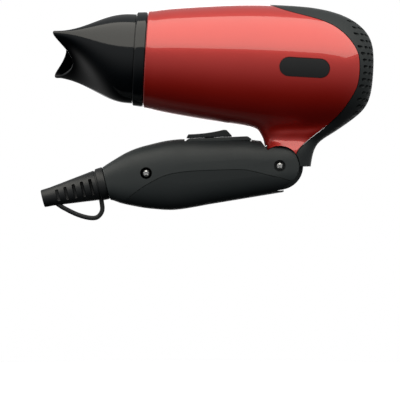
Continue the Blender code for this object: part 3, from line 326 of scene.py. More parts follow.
# %% [markdown]
# ## The barrel's cage
# The coloured shell and the black back are one flowing form with a neck drawn out underneath, later cut along
# their joint. A coarse cage of sixteen sides is grown ring by ring, the neck is extruded from four of its rows,
# and Subdivision Surface turns the cage into a smooth skin. Each ring is set a little outside the wanted surface,
# because the smoothing pulls it in.

# %% Barrel profile and cage
FRONT_RADIUS = 29.4
FAN_RADIUS = 37.1
FAN_STATION = 80.0
BARREL_LENGTH = 137.3
WALL = 2.0
CAGE_SIDES = 16


def barrel_radius(station):
    if station <= FAN_STATION:
        flare = 1 - max(0.0, 1 - station / FAN_STATION) ** 1.73
        return FRONT_RADIUS + (FAN_RADIUS - FRONT_RADIUS) * flare
    share = (station - FAN_STATION) / (BARREL_LENGTH - FAN_STATION)
    return FAN_RADIUS * (1 - share**2.8) ** (1 / 2.8)


def cage_rings(inset):
    """(station, radius) of each ring of the cage, in millimetres."""
    stations = [-14.0, 0.0] + [FAN_STATION * share for share in (0.1, 0.3, 0.6, 0.86)]
    dome = BARREL_LENGTH - FAN_STATION
    stations += [FAN_STATION + dome * share for share in (0.17, 0.42, 0.63, 0.80, 0.92, 0.985)]
    wanted = [Vector((s, barrel_radius(max(s, 0.0)))) for s in stations]
    cage = [p.copy() for p in wanted]
    for _ in range(6):
        limit = [cage[0]] + [(a + 4 * b + c) / 6 for a, b, c in zip(cage, cage[1:], cage[2:])] + [cage[-1]]
        cage = [c + w - l for c, w, l in zip(cage, wanted, limit)]
    swell = 3 / (2 + math.cos(2 * math.pi / CAGE_SIDES))
    rings = []
    for p in cage:
        back = inset * max(0.0, (p.x - FAN_STATION) / dome)
        rings.append((p.x - back, max(p.y - inset, 1.0) * swell))
    return rings


def neck_points(level, front, rear, half_width, corner, inset):
    """Five by three points of the neck's section at a height above the hinge."""
    front, rear, half_width = front + inset, rear - inset, (half_width - inset) * 1.05
    into_barrel = BARREL.inverted()
    grid = {}
    for i in range(5):
        for j in (-1, 0, 1):
            x, y = front + (rear - front) * i / 4, j * half_width
            if j and i in (0, 4):
                y *= corner if i == 0 else 0.62
                x += (rear - front) * (0.07 if i == 0 else -0.07)
            grid[i, j] = into_barrel @ (HINGE + Vector((x, y, level)) * MM)
    return grid


NECK = ((19.5, -12.6, 33.0, 13.8, 0.62), (15.2, -9.8, 25.0, 11.4, 0.55), (9.6, -8.8, 21.2, 15.8, 0.92),
        (-1.0, -8.4, 19.4, 14.7, 0.85), (-10.0, -8.4, 19.0, 14.5, 0.7))


def barrel_cage(name, inset):
    """The barrel with its neck, smoothed, in the barrel's own frame."""
    rings = cage_rings(inset)
    if inset:
        rings[0] = (rings[0][0] - 4.0, rings[0][1])
    loops = [ring_of(s * MM, r * MM, CAGE_SIDES) for s, r in rings]
    obj = grow(name, loops)
    only(obj)
    bpy.ops.object.mode_set(mode="EDIT")
    bpy.ops.mesh.select_mode(type="FACE")
    bm = bmesh.from_edit_mesh(obj.data)
    old = {}
    for i in range(5):
        for j in (-1, 0, 1):
            old[tuple(round(c, 6) for c in loops[5 + i][j])] = (i, j)
    for face in bm.faces:
        face.select_set(all(tuple(round(c, 6) for c in v.co) in old for v in face.verts))
    bmesh.update_edit_mesh(obj.data)
    for level in NECK:
        bpy.ops.mesh.extrude_region_move()
        grid = neck_points(*level, inset)
        bm = bmesh.from_edit_mesh(obj.data)
        fresh = {vert: old[tuple(round(c, 6) for c in vert.co)] for vert in bm.verts if vert.select}
        for vert, spot in fresh.items():
            vert.co = grid[spot]
        old = {tuple(round(c, 6) for c in vert.co): spot for vert, spot in fresh.items()}
        bmesh.update_edit_mesh(obj.data)
    bpy.ops.mesh.select_all(action="SELECT")
    bpy.ops.mesh.normals_make_consistent(inside=False)
    bpy.ops.object.mode_set(mode="OBJECT")
    return obj


barrel_form = barrel_cage("barrel_form", 0.0)
smooth_levels(barrel_form, 3)
settle(barrel_form, BARREL)
hollow_form = barrel_cage("hollow_form", WALL)
smooth_levels(hollow_form, 2)
settle(hollow_form, BARREL)
guide(barrel_form)
guide(hollow_form)
print("barrel form", len(barrel_form.data.polygons), "faces")

# %% [markdown]
# ## Turned pieces
# Rings, sleeves and screws are the same all round. A profile is drawn once in the side view and spun round the
# axis. Spin leaves the first and last copies on top of each other, so they are merged.

# %% Spinning a profile


def turned(name, profile, steps=128, place=BARREL):
    """Spins a closed side profile of (station, radius) once round the X axis."""
    bpy.ops.object.select_all(action="DESELECT")
    bpy.ops.mesh.primitive_circle_add(vertices=len(profile), radius=0.01, fill_type="NOTHING")
    obj = bpy.context.object
    obj.name = name
    bpy.ops.object.mode_set(mode="EDIT")
    bm = bmesh.from_edit_mesh(obj.data)
    bm.verts.ensure_lookup_table()
    for vert, (station, radius) in zip(bm.verts, profile):
        vert.co = Vector((station, 0.0, radius)) * MM
    bmesh.update_edit_mesh(obj.data)
    bpy.ops.mesh.select_all(action="SELECT")
    bpy.ops.mesh.spin(steps=steps, angle=2 * math.pi, center=(0, 0, 0), axis=(1, 0, 0))
    bpy.ops.mesh.select_all(action="SELECT")
    bpy.ops.mesh.remove_doubles(threshold=0.00001)
    bpy.ops.mesh.normals_make_consistent(inside=False)
    bpy.ops.object.mode_set(mode="OBJECT")
    return settle(obj, place)

# %% [markdown]
# ## Lines that the pieces share
# The joint between the coloured shell and the black back is one curve in the side view. So is the edge of the
# round cheek that turns in front of the neck. Each is made into a solid sheet that reaches right across the
# dryer, and the same sheet cuts the pieces on both sides of it, so that they always meet.

# %% Shared cutting sheets
CHEEK_RADIUS = 11.6
HANDLE_END = 2.6
DRUM_RADIUS = 14.2
DRUM_HALF_WIDTH = 8.0
GAP = 0.3
REAR_EDGE = [(-11.0, 99.0), (3.6, 92.6), (24.0, 86.5), (34.0, 81.5), (41.4, 74.5), (46.0, 66.5), (47.0, 58.0),
             (46.0, 48.5), (43.0, 41.5), (36.6, 32.0), (28.0, 23.6), (19.0, 16.6), (11.0, 9.0), (9.0, 1.0)]


def rear_line(grow=0.0):
    """The joint of shell and back about the hinge, in the side view, moved towards the shell by grow."""
    path = curve_through([(x, 0.0, z) for x, z in REAR_EDGE], 8)
    line = []
    for before, point, after in zip([path[0]] + path, path, path[1:] + [path[-1]]):
        along = (after - before).normalized()
        line.append((point.x + along.z * grow, point.z - along.x * grow))
    return line


def rear_sheet(name, grow):
    line = rear_line(grow)
    top = line[0][1] + 8.0
    outline = line + [(line[-1][0], -30.0), (80.0, -30.0), (80.0, top), (line[0][0], top)]
    return guide(sheet_cutter(name, outline, 60.0, HANDLE))


def cheek_line(grow):
    """The handle's hinge end about the hinge: its flat back end, the round of the cheek, and the neck's front."""
    radius, end = CHEEK_RADIUS + grow, HANDLE_END + grow
    start, stop = -math.acos(end / radius), math.radians(128.0)
    outline = [(end, -60.0)]
    for i in range(65):
        angle = start + (stop - start) * i / 64
        outline.append((radius * math.cos(angle), radius * math.sin(angle)))
    outline += [(-10.9 + grow, 14.9), (-12.3 + grow, 18.5)]
    return outline + [(-130.0, 18.5), (-130.0, -60.0)]


def swing_outline():
    """The room under the neck that the folding handle turns through."""
    points = [(0.0, 0.0)]
    for i in range(13):
        angle = math.radians(200.0 + (359.5 - 200.0) * i / 12)
        points.append((60.0 * math.cos(angle), 60.0 * math.sin(angle)))
    return points


rear_region = rear_sheet("rear_region", 0.0)
shell_limit = rear_sheet("shell_limit", GAP)
handle_room = guide(sheet_cutter("handle_room", cheek_line(0.4), 40.0, HANDLE))
swing_room = guide(sheet_cutter("swing_room", swing_outline(), 40.0, HANDLE))
drum_room = guide(drum("drum_room", DRUM_RADIUS + GAP, -DRUM_HALF_WIDTH - GAP, DRUM_HALF_WIDTH + GAP, 96, HANDLE))
front_room = guide(slab("front_room", (-40, -50, -50), (0, 50, 50)))
settle(front_room, BARREL)
print("rear joint line", len(rear_line()), "points")

# %% [markdown]
# ## Fine chamfers along the joints
# Moulded shells never end in a knife edge. A small chamfer along each joint catches a line of light, which is
# what makes two parts look like two parts. Here a thin four-sided rod follows the joint over the surface and is
# cut away from both sides. To find the surface, a ray is cast inwards from each point of the joint's side view.

# %% Joint lines on a surface


def surface_line(form, line, place, side):
    """Points on a form's skin that lie above a side-view line, seen from side -1 or 1."""
    inverse = form.matrix_world.inverted()
    found = []
    for x, z in line:
        start = place @ (Vector((x, 0.0, z)) * MM)
        start.y = side * 0.08
        hit, spot, _, _ = form.ray_cast(inverse @ start, Vector((0.0, -side, 0.0)))
        if hit and spot.y * side > 0:
            found.append(spot)
    return found


def even_steps(points, step):
    """The same line with points a fixed distance apart."""
    line = [points[0]]
    for point in points[1:]:
        while (point - line[-1]).length >= step:
            line.append(line[-1] + (point - line[-1]).normalized() * step)
    return line


def swept(name, points, across_mm, along_mm, sides=4, power=1.0):
    """A rod along points, with an oval or rounded-box section."""
    rings = []
    across = Vector((0.0, 1.0, 0.0))
    for before, point, after in zip([points[0]] + points, points, points[1:] + [points[-1]]):
        along = (after - before).normalized()
        across = (across - along * across.dot(along)).normalized()
        up = along.cross(across)
        ring = []
        for i in range(sides):
            angle = 2 * math.pi * i / sides
            c, s = math.cos(angle), math.sin(angle)
            out = math.copysign(abs(c) ** power, c) * across_mm
            over = math.copysign(abs(s) ** power, s) * along_mm
            ring.append(point + (across * out + up * over) * MM)
        rings.append(ring)
    return grow(name, rings)


def groove(name, points, half_width):
    """A thin four-sided rod along points, to be cut away from what lies beside the line."""
    return guide(swept(name, points, half_width, half_width))


def refined(line, steps):
    """A side-view line with more points between each two."""
    fine = []
    for (x0, z0), (x1, z1) in zip(line, line[1:]):
        fine += [(x0 + (x1 - x0) * i / steps, z0 + (z1 - z0) * i / steps) for i in range(steps)]
    return fine + [line[-1]]


joint = rear_line(GAP / 2)
near = surface_line(barrel_form, refined(joint, 6), HANDLE, -1)
far = surface_line(barrel_form, refined(joint, 6), HANDLE, 1)
whole = even_steps(list(reversed(near)) + far, 1.2 * MM)
rear_groove = groove("rear_groove", whole, 0.42)
print("joint line on the skin", len(whole), "points")

# %% [markdown]
# ## The coloured shell
# Two glossy moulded halves meet on the middle plane. They are cut from the barrel form: hollow first, then the
# open front, the room for the handle and the black back. The oval recess for the side inlay is sunk last, down
# to a slightly smaller copy of the same form, so that its floor follows the barrel.

# %% Shell halves
INLAY_STATION = 94.0
INLAY_DROP = 1.2


def stadium_prism(name, length, height, station, drop, side, start, end, sides=24):
    """An oval rod across the barrel, on one side of it."""
    radius = height / 2
    outline = []
    for turn in (0, 1):
        for i in range(sides + 1):
            angle = math.pi * (i / sides - 0.5) + math.pi * turn
            middle = (length / 2 - radius) * (1 if turn == 0 else -1)
            outline.append((station + middle + radius * math.cos(angle), -drop + radius * math.sin(angle)))
    obj = sheet_cutter(name, outline, (end - start) / 2)
    obj.location.y = side * (start + end) / 2 * MM
    return settle(settle(obj), BARREL)


recess_floor = guide(settle(smooth_levels(barrel_cage("recess_floor", 1.3), 2), BARREL))
shell = copy_of(barrel_form, "shell")
shell.hide_render = False
for room in (hollow_form, front_room, handle_room, swing_room, shell_limit, drum_room, rear_groove):
    cut(shell, room)
cut(shell, turned("front_chamfer", [(-0.5, 29.5), (0.0, 28.95), (0.5, 29.5), (0.0, 30.05)], 128), keep=False)
for side in (-1, 1):
    oval = stadium_prism("inlay_room", 30.0, 11.6, INLAY_STATION, INLAY_DROP, side, 25.0, 60.0)
    cut(oval, recess_floor)
    cut(shell, oval, keep=False)
print("shell", len(shell.data.polygons), "faces")

# %% [markdown]
# ## Left and right halves
# The finished shell is split on its middle plane into the two mouldings that a maker would pull from their tools.
# A hairline between them shows on top of the barrel and up the front of the neck.

# %% Splitting a shell
HALVES = (("left", -1), ("right", 1))


def split(obj, stem, node, body, slot):
    """Cuts obj into its left and right halves on the middle plane, and returns both."""
    halves = []
    for side_name, side in HALVES:
        half = copy_of(obj, f"{stem}_{side_name}")
        low, high = sorted((-side * 90.0, side * GAP / 2))
        cut(half, slab("other_half", (-200, low, -60), (200, high, 200)), keep=False)
        shade(half)
        dress_later(half, body, slot, f"{node}_{side_name}")
        halves.append(half)
    bpy.data.objects.remove(obj)
    return halves


finished = []


def dress_later(obj, body, slot, *nodes):
    """Ties a finished piece to its body, its finish and the frame's solid that it stands for."""
    settle(obj)
    obj.hide_render = False
    obj.data.materials.clear()
    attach(obj, body)
    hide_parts(*nodes)
    finished.append((obj, slot))
    return obj


shells = split(shell, "shell", "housing", "housing", "red_plastic")
print("shell halves", [len(half.data.polygons) for half in shells])

# %% [markdown]
# ## The black back with its air intake
# The back takes the rest of the barrel form, down to the spine behind the hinge. Air enters through rows of short
# round-ended slots in the dome. One slot is modelled as an oval rod along the barrel, copied into rows, and the
# whole field is cut away at once.

# %% Back cover
SLOT_LENGTH, SLOT_HEIGHT, FIELD_RISE = 3.1, 1.9, 1.9
SLOT_PITCH, ROW_PITCH = 4.0, 3.84
FIELD_HALF_WIDTH, FIELD_HALF_HEIGHT = 28.5, 32.0


def slot_rod(sides=6):
    """A round-ended rod along X, standing through the dome."""
    radius = SLOT_HEIGHT / 2
    bpy.ops.object.select_all(action="DESELECT")
    bpy.ops.mesh.primitive_circle_add(vertices=2 * (sides + 1), radius=0.01, fill_type="NGON")
    rod = bpy.context.object
    bpy.ops.object.mode_set(mode="EDIT")
    bm = bmesh.from_edit_mesh(rod.data)
    bm.verts.ensure_lookup_table()
    for i, vert in enumerate(bm.verts):
        end, step = divmod(i, sides + 1)
        angle = math.pi * (step / sides - 0.5 + end)
        reach = (SLOT_LENGTH / 2 - radius) * (1 if end == 0 else -1)
        vert.co = Vector((95.0, reach + radius * math.cos(angle), radius * math.sin(angle))) * MM
    bmesh.update_edit_mesh(rod.data)
    bpy.ops.mesh.extrude_region_move(TRANSFORM_OT_translate={"value": (60 * MM, 0, 0)})
    bpy.ops.mesh.select_all(action="SELECT")
    bpy.ops.mesh.normals_make_consistent(inside=False)
    bpy.ops.object.mode_set(mode="OBJECT")
    return rod


def slot_field():
    first = slot_rod()
    rods = [first]
    rows = int(FIELD_HALF_HEIGHT / ROW_PITCH)
    for row in range(-rows, rows + 1):
        z = row * ROW_PITCH
        half_row = FIELD_HALF_WIDTH * math.sqrt(1 - (z / FIELD_HALF_HEIGHT) ** 2) - SLOT_LENGTH / 2
        count = int(half_row / SLOT_PITCH)
        for column in range(-count, count + 1):
            rod = copy_of(first, "slot_rod")
            rod.location = Vector((0.0, column * SLOT_PITCH, z + FIELD_RISE)) * MM
            rods.append(rod)
    bpy.data.objects.remove(rods.pop(0))
    for other in bpy.context.view_layer.objects:
        other.select_set(other in rods)
    bpy.context.view_layer.objects.active = rods[0]
    bpy.ops.object.join()
    field = bpy.context.object
    field.name = "slot_field"
    settle(field)
    return guide(settle(field, BARREL)), len(rods)


back_cover = copy_of(barrel_form, "back_cover")
cut(back_cover, rear_region, "INTERSECT")
for room in (hollow_form, handle_room, swing_room, drum_room, rear_groove):
    cut(back_cover, room)
field, slot_count = slot_field()
cut(back_cover, field)
shade(back_cover)
dress_later(back_cover, "housing", "black_satin", "rear_cover")
print("back cover with", slot_count, "slots,", len(back_cover.data.polygons), "faces")

# %% [markdown]
# ## The hinge knuckle
# A drum hangs between the two cheeks of the handle and is clamped by the shell halves. It is a cylinder with
# rounded rims, a bore for its bush, and an arc-shaped slot in front that lets the leads swing as it folds.

# %% Knuckle
knuckle = drum("knuckle", DRUM_RADIUS, -DRUM_HALF_WIDTH, DRUM_HALF_WIDTH, 128, HANDLE)
rounded(knuckle, 0.6 * MM, 3)
cut(knuckle, drum("knuckle_bore", 3.3, -20, 20, 48, HANDLE), keep=False)
SLOT_INNER, SLOT_OUTER = 8.6, 25.0
arc = [math.radians(angle) for angle in range(166, 270, 4)]
lead_slot = [(SLOT_OUTER * math.cos(a), SLOT_OUTER * math.sin(a)) for a in arc]
lead_slot += [(SLOT_INNER * math.cos(a), SLOT_INNER * math.sin(a)) for a in reversed(arc)]
cut(knuckle, sheet_cutter("lead_slot", lead_slot, 4.6, HANDLE), keep=False)
shade(knuckle)
dress_later(knuckle, "housing", "black_satin", "hinge_knuckle")
print("knuckle", len(knuckle.data.polygons), "faces")

# %% [markdown]
# ## The collar
# The collar is a turned ring with an inner step, and it slides off the barrel's front together with the nozzle.

# %% Collar
collar_profile = [(-6.6, 28.0), (-6.5, 28.25), (-6.25, 28.45), (-5.9, 28.55), (-1.5, 28.85), (-0.9, 28.8),
                  (-0.5, 28.55), (-0.3, 28.2), (-0.3, 26.8), (2.7, 26.8), (2.7, 25.3), (-0.8, 25.3),
                  (-1.0, 26.2), (-6.6, 26.2)]
collar_ring = shade(turned("collar_ring", collar_profile, 160), 40.0)
dress_later(collar_ring, "collar", "black_gloss", "nozzle_collar")
print("collar", len(collar_ring.data.polygons), "faces")

# %% [markdown]
# ## The concentrator nozzle
# The nozzle starts round, to plug into its collar, and flattens towards a wide slit with a scooped lip. It is a
# tube of rings: each ring's width and height ease from the circle to the slit, and its middle is held back so
# that the lip curves. The wall is the same walk back inside, and the two ends are bridged.

# %% Nozzle
NOZZLE_TURN = math.radians(28.0)
NOZZLE_BASE_RADIUS, NOZZLE_WALL = 27.2, 1.6
NOZZLE_START, NOZZLE_LENGTH = -6.9, 48.5
MOUTH_HALF_WIDTH, MOUTH_HALF_HEIGHT = 26.0, 5.6
LOWER_SCOOP, UPPER_SCOOP = 11.5, 7.0
RING_COUNT = 36


def nozzle_ring(share, inset, sides=112, back=0.0):
    """One ring of the nozzle, share of the way from base to mouth."""
    blend = share**2.8 * (3 - 2 * share**1.4)
    wide = NOZZLE_BASE_RADIUS + (MOUTH_HALF_WIDTH - NOZZLE_BASE_RADIUS) * blend - inset
    high = NOZZLE_BASE_RADIUS + (MOUTH_HALF_HEIGHT - NOZZLE_BASE_RADIUS) * blend - inset
    ring = []
    for i in range(sides):
        angle = 2 * math.pi * i / sides
        along, across = math.cos(angle), math.sin(angle)
        reach = NOZZLE_LENGTH - (UPPER_SCOOP if across > 0 else LOWER_SCOOP) * abs(across) ** 2.2
        y, z = wide * along, high * across
        ring.append(Vector((NOZZLE_START - reach * share + back, y * math.cos(NOZZLE_TURN) + z * math.sin(NOZZLE_TURN),
                            z * math.cos(NOZZLE_TURN) - y * math.sin(NOZZLE_TURN))) * MM)
    return ring


def plug_ring(station, radius):
    """One round ring of the plug that enters the collar, in step with the nozzle's rings."""
    return [Vector((station * MM, p.y * radius / NOZZLE_BASE_RADIUS, p.z * radius / NOZZLE_BASE_RADIUS))
            for p in nozzle_ring(0.0, 0.0)]


shares = [i / RING_COUNT for i in range(1, RING_COUNT)]
nozzle_rings = [plug_ring(-1.3, 25.9), plug_ring(NOZZLE_START, 25.9), plug_ring(NOZZLE_START, 26.9)]
nozzle_rings += [nozzle_ring(0.004, 0.03)] + [nozzle_ring(share, 0.0) for share in shares]
nozzle_rings += [nozzle_ring(1.0, 0.0, back=0.5), nozzle_ring(1.0, 0.12, back=0.15), nozzle_ring(1.0, 0.4),
                 nozzle_ring(1.0, 1.2), nozzle_ring(1.0, 1.48, back=0.15), nozzle_ring(1.0, NOZZLE_WALL, back=0.5)]
nozzle_rings += [nozzle_ring(share, NOZZLE_WALL) for share in reversed(shares)]
nozzle_rings += [plug_ring(-1.3, 24.3)]
nozzle = settle(grow("nozzle", nozzle_rings, close=True), BARREL)
shade(nozzle, 40.0)
dress_later(nozzle, "nozzle", "black_gloss", "concentrator_nozzle")
print("nozzle", len(nozzle.data.polygons), "faces")

# %% [markdown]
# ## Side inlays
# An oval plate fills the recess on each side of the barrel and hides the screw behind it. Each is the same oval
# rod as its recess, a hair smaller, kept only between two copies of the barrel form: its own skin and its back.

# %% Inlays
inlay_skin = guide(settle(smooth_levels(barrel_cage("inlay_skin", 0.25), 3), BARREL))
inlay_back = guide(settle(smooth_levels(barrel_cage("inlay_back", 1.15), 2), BARREL))
for side_name, side in HALVES:
    inlay = stadium_prism(f"side_plate_{side_name}", 29.4, 11.0, INLAY_STATION, INLAY_DROP, side, 25.0, 60.0, 32)
    cut(inlay, inlay_skin, "INTERSECT")
    cut(inlay, inlay_back)
    shade(inlay)
    dress_later(inlay, "housing", "inlay", f"side_inlay_{side_name}")
print("side plates fitted")

# %% [markdown]
# ## The handle's form
# The grip swells towards its middle and narrows to the cord end. Its top line, bottom line and width are smooth
# curves along its length, and each ring is a rounded box between them. As with the barrel, one form is cut into
# the pieces that meet on it.

# %% Handle form
HANDLE_TOP = [(-106.0, -0.8), (-104.5, 0.3), (-99.0, 3.8), (-91.8, 8.0), (-84.6, 11.0), (-77.4, 13.0), (-67.8, 15.2),
              (-58.2, 16.2), (-40.0, 16.0), (-20.0, 16.2), (-10.8, 15.2), (2.0, 15.0), (16.0, 15.0)]
HANDLE_BOTTOM = [(-106.0, -19.8), (-104.5, -20.0), (-99.7, -20.5), (-95.0, -22.2), (-84.6, -24.4), (-77.0, -25.5),
                 (-62.4, -26.2), (-40.0, -22.6), (-20.0, -19.3), (3.0, -15.5), (16.0, -13.5)]
HANDLE_WIDTH = [(-106.0, 9.6), (-104.5, 9.9), (-99.0, 11.2), (-92.0, 12.6), (-78.0, 14.2), (-60.0, 15.0), (16.0, 15.0)]
SEAM = [(-97.0, -32.0), (-93.5, -23.2), (-85.2, -15.4), (-71.4, -7.2), (-60.6, -4.2), (-47.4, -3.0), (-23.4, -2.4),
        (-15.0, -3.6), (-3.6, -6.4), (5.0, -8.6), (9.0, -11.0), (24.0, -24.0)]


HANDLE_TIP, HANDLE_FRONT = -107.5, 16.0
BOX_ROUNDNESS = 0.72


def handle_form(name, inset, rings=72, sides=72):
    """The handle's skin, or a smaller copy of it, as rounded boxes along its length."""
    loops = []
    for k in range(rings + 1):
        x = HANDLE_TIP + (HANDLE_FRONT - HANDLE_TIP) * k / rings
        top = height_at(HANDLE_TOP, x) - inset
        bottom = height_at(HANDLE_BOTTOM, x) + inset
        half = height_at(HANDLE_WIDTH, x) - inset
        loop = []
        for i in range(sides):
            angle = 2 * math.pi * (i + 0.5) / sides
            c, s = math.cos(angle), math.sin(angle)
            y = half * math.copysign(abs(c) ** BOX_ROUNDNESS, c)
            z = (top + bottom) / 2 + (top - bottom) / 2 * math.copysign(abs(s) ** BOX_ROUNDNESS, s)
            loop.append(Vector((x, y, z)) * MM)
        loops.append(loop)
    return settle(grow(name, loops), HANDLE)


def seam_sheet(name, grow_by):
    """Everything below the joint of the upper grip and the under-cover."""
    line = [(p.x, p.z + grow_by) for p in curve_through([(x, 0.0, z) for x, z in SEAM], 6)]
    return guide(sheet_cutter(name, line + [(24.0, -70.0), (-97.0 - grow_by, -70.0)], 30.0, HANDLE))


grip_form = guide(handle_form("grip_form", 0.0))
grip_hollow = guide(handle_form("grip_hollow", 2.0, 36, 40))
cut(grip_hollow, slab("hollow_front", (26.1, -30, -60), (80, 30, 90)), keep=False)
end_block = slab("end_block", (-60, -30, -40), (0, 30, 40))
inner_end = settle(copy_of(end_block, "inner_end"), placed(RELIEF @ Vector((0.002, 0, 0)), RELIEF_LEAN))
cut(grip_hollow, inner_end, keep=False)
end_room = guide(settle(end_block, RELIEF))
cheek_sheet = guide(sheet_cutter("cheek_sheet", cheek_line(0.0), 14.9, HANDLE))
rounded(cheek_sheet, 0.9 * MM, 4, 60.0)
cheek_drum = guide(drum("cheek_drum", DRUM_RADIUS + 0.5, -9.1, 9.1, 96, HANDLE))
print("grip form", len(grip_form.data.polygons), "faces")

# %% [markdown]
# ## Grip shells and the under-cover
# The two upper shells carry the switch, and the under-cover closes the grip from below. The screws sit in round
# wells on one side only. The joint line gets the same fine chamfer as the barrel's.

# %% Grip pieces
grip = copy_of(grip_form, "grip")
grip.hide_render = False
cut(grip, end_room)
cut(grip, cheek_sheet, "INTERSECT")
cut(grip, cheek_drum)
cut(grip, grip_hollow)
seam_line = [(p.x, p.z + GAP / 2) for p in curve_through([(x, 0.0, z) for x, z in SEAM], 8)]
for side in (-1, 1):
    found = surface_line(grip_form, refined(seam_line, 4), HANDLE, side)
    cut(grip, groove("seam_groove", even_steps(found, 1.2 * MM), 0.22))
SCREW_SPOTS = {"hinge": (Vector((0.0, 0.0, 0.0)), -12.0), "handle": (Vector((-79.5, 0.0, -4.3)), -11.0)}
for spot, floor in SCREW_SPOTS.values():
    well = settle(drum("well", 3.5, -20.0, floor, 48), placed(HINGE + spot * MM, 0.0))
    cut(grip, well, keep=False)
    hole = settle(drum("hole", 1.7, -20.0, 12.0, 24), placed(HINGE + spot * MM, 0.0))
    cut(grip, hole, keep=False)
under_cover = copy_of(grip, "under_cover")
cut(under_cover, seam_sheet("seam_below", 0.0), "INTERSECT")
shade(under_cover)
dress_later(under_cover, "handle", "black_satin", "handle_back")
cut(grip, seam_sheet("seam_above", GAP))
bezel_room = settle(slab("bezel_room", (-20.1, -7.8, -5.6), (20.1, 7.8, 8.0)), SWITCH)
cut(grip, bezel_room, keep=False)
grips = split(grip, "grip", "handle", "handle", "grey_satin")
print("grip pieces", [len(piece.data.polygons) for piece in (*grips, under_cover)])

# %% [markdown]
# ## The switch
# A low platform sits in the grip's back, and the slider runs on it. Both are side outlines given width, with
# their edges rounded by a Bevel modifier. The slider's top is scooped for the thumb and rises to a lip in front.

# %% Switch
bezel_outline = [(-19.8, -2.6), (-19.8, -1.6), (-17.6, 0.0), (17.6, 0.0), (19.8, -1.6), (19.8, -2.6)]
bezel = sheet_cutter("switch_plate", bezel_outline, 7.5, SWITCH)
rounded(bezel, 0.45 * MM, 3)
cut(bezel, settle(slab("stem_slot", (-8.7, -2.4, -20), (4.1, 2.4, 5)), SWITCH), keep=False)
shade(bezel)
dress_later(bezel, "handle", "grey_satin", "switch_bezel")
KNOB_PLACE = -5.3
knob_outline = [(-13.7, 0.3), (13.7, 0.3), (13.3, 1.2), (10.6, 4.3)]
for i in range(25):
    t = i / 24
    knob_outline.append((8.7 + (-11.1 - 8.7) * t, 2.6 + 1.9 * (1 - t) ** 2.2))
knob_outline.append((-12.5, 2.6))
knob = sheet_cutter("slider", [(x + KNOB_PLACE, z) for x, z in knob_outline], 5.5, SWITCH)
rounded(knob, 0.4 * MM, 3, 25.0)
cut(knob, settle(slab("stem", (-8.3, -2.0, -5.1), (-2.3, 2.0, 1.0)), SWITCH), "UNION", keep=False)
shade(knob, 25.0)
dress_later(knob, "switch", "switch_plastic", "switch_knob")
print("switch", len(bezel.data.polygons) + len(knob.data.polygons), "faces")

# %% [markdown]
# ## Strain relief and hanging loop
# A tapering rubber sleeve keeps the cord from kinking where it leaves the grip. Slots down its sides make it
# flexible, and a loop moulded in one piece with it hangs the dryer on a hook. The sleeve is turned, the loop is a
# rounded-box section swept along a curve, and the two are joined.

# %% Strain relief
relief_profile = [(-39.5, 4.8), (-39.35, 5.1), (-39.0, 5.3), (-33.5, 5.65), (-6.2, 9.05), (-5.9, 8.9), (-5.7, 8.6),
                  (-5.2, 8.6), (-5.0, 9.3), (-4.6, 9.65), (-4.0, 9.75), (-1.0, 9.9), (-0.5, 9.75), (-0.3, 9.4),
                  (-0.3, 6.2),
                  (2.3, 6.2), (2.3, 7.8), (4.7, 7.8), (4.7, 3.6), (-39.5, 3.6)]
relief = turned("cord_sleeve", relief_profile, 96, RELIEF)
loop_knots = [(-33.0, -2.6), (-31.2, -5.6), (-27.2, -9.6), (-21.3, -14.4), (-15.0, -17.9), (-10.2, -18.6),
              (-6.6, -15.6), (-5.6, -10.6), (-5.6, -6.6)]
loop_path = curve_through([(x, 0.0, z) for x, z in loop_knots], 8)
loop_path = [RELIEF @ (p * MM) for p in loop_path]
loop = swept("loop", loop_path, 2.0, 1.4, 24, 0.6)
cut(relief, loop, "UNION", keep=False)
bore = settle(drum("bore", 3.6, -60, 60, 64), RELIEF @ Matrix.Rotation(math.radians(90), 4, "Z"))
cut(relief, bore, keep=False)
for i in range(5):
    station = -29.9 + 5.2 * i
    radius = 5.2 + 4.7 * (station + 39.5) / 39.5
    for side in (-1, 1):
        near_y, far_y = sorted((side * 4.6, side * 14.0))
        pocket = slab("pocket", (station - 1.0, near_y, -0.62 * radius), (station + 1.0, far_y, 0.52 * radius))
        rounded(pocket, 0.6 * MM, 3)
        cut(relief, settle(pocket, RELIEF), keep=False)
shade(relief, 35.0)
dress_later(relief, "handle", "black_rubber", "strain_relief")
print("strain relief", len(relief.data.polygons), "faces")

# %% [markdown]
# ## Screws in their wells
# Two pan-head screws show on the left side. Each head is turned with a low dome, and a cross recess is cut into
# it with two crossed bars.

# %% Screws
SCREWS = (("hinge_screw", Vector((0.0, -12.3, 0.0)), 23.8), ("handle_screw", Vector((-79.5, -11.3, -4.3)), 19.0))
for name, seat, length in SCREWS:
    head = [(-1.8, 0.0), (-1.76, 0.7), (-1.62, 1.3), (-1.3, 1.85), (-0.8, 2.2), (-0.3, 2.3), (0.0, 2.28), (0.0, 1.4),
            (length, 1.4), (length + 1.2, 0.4), (length + 1.2, 0.0)]
    place = placed(HINGE + seat * MM, 0.0)
    screw = turned(name + "_turned", head, 64, place @ Matrix.Rotation(math.radians(90), 4, "Z"))
    for angle in (45.0, 135.0):
        bar = slab("bar", (-1.5, -3.0, -0.32), (1.5, -0.7, 0.32))
        rounded(bar, 0.15 * MM, 2)
        cut(screw, settle(bar, place @ Matrix.Rotation(math.radians(angle), 4, "Y")), keep=False)
    shade(screw, 35.0)
    dress_later(screw, "handle", "steel", name)
print("screws set")

# %% [markdown]
# ## Clearing the bench
# The cutting guides have done their work and are removed.

# %% Removing guides
for leftover in guides:
    bpy.data.objects.remove(leftover)
print(len(finished), "detailed pieces")

# %% [markdown]
# ## Shared surface effects
# Every moulded part has some fine grain, a little drift in colour, and patches where handling has polished or
# dulled it. These are built once as node groups. They read the object's own coordinates, so the pattern stays
# put when a piece moves, and they hand out only colours and values.

# %% Node groups


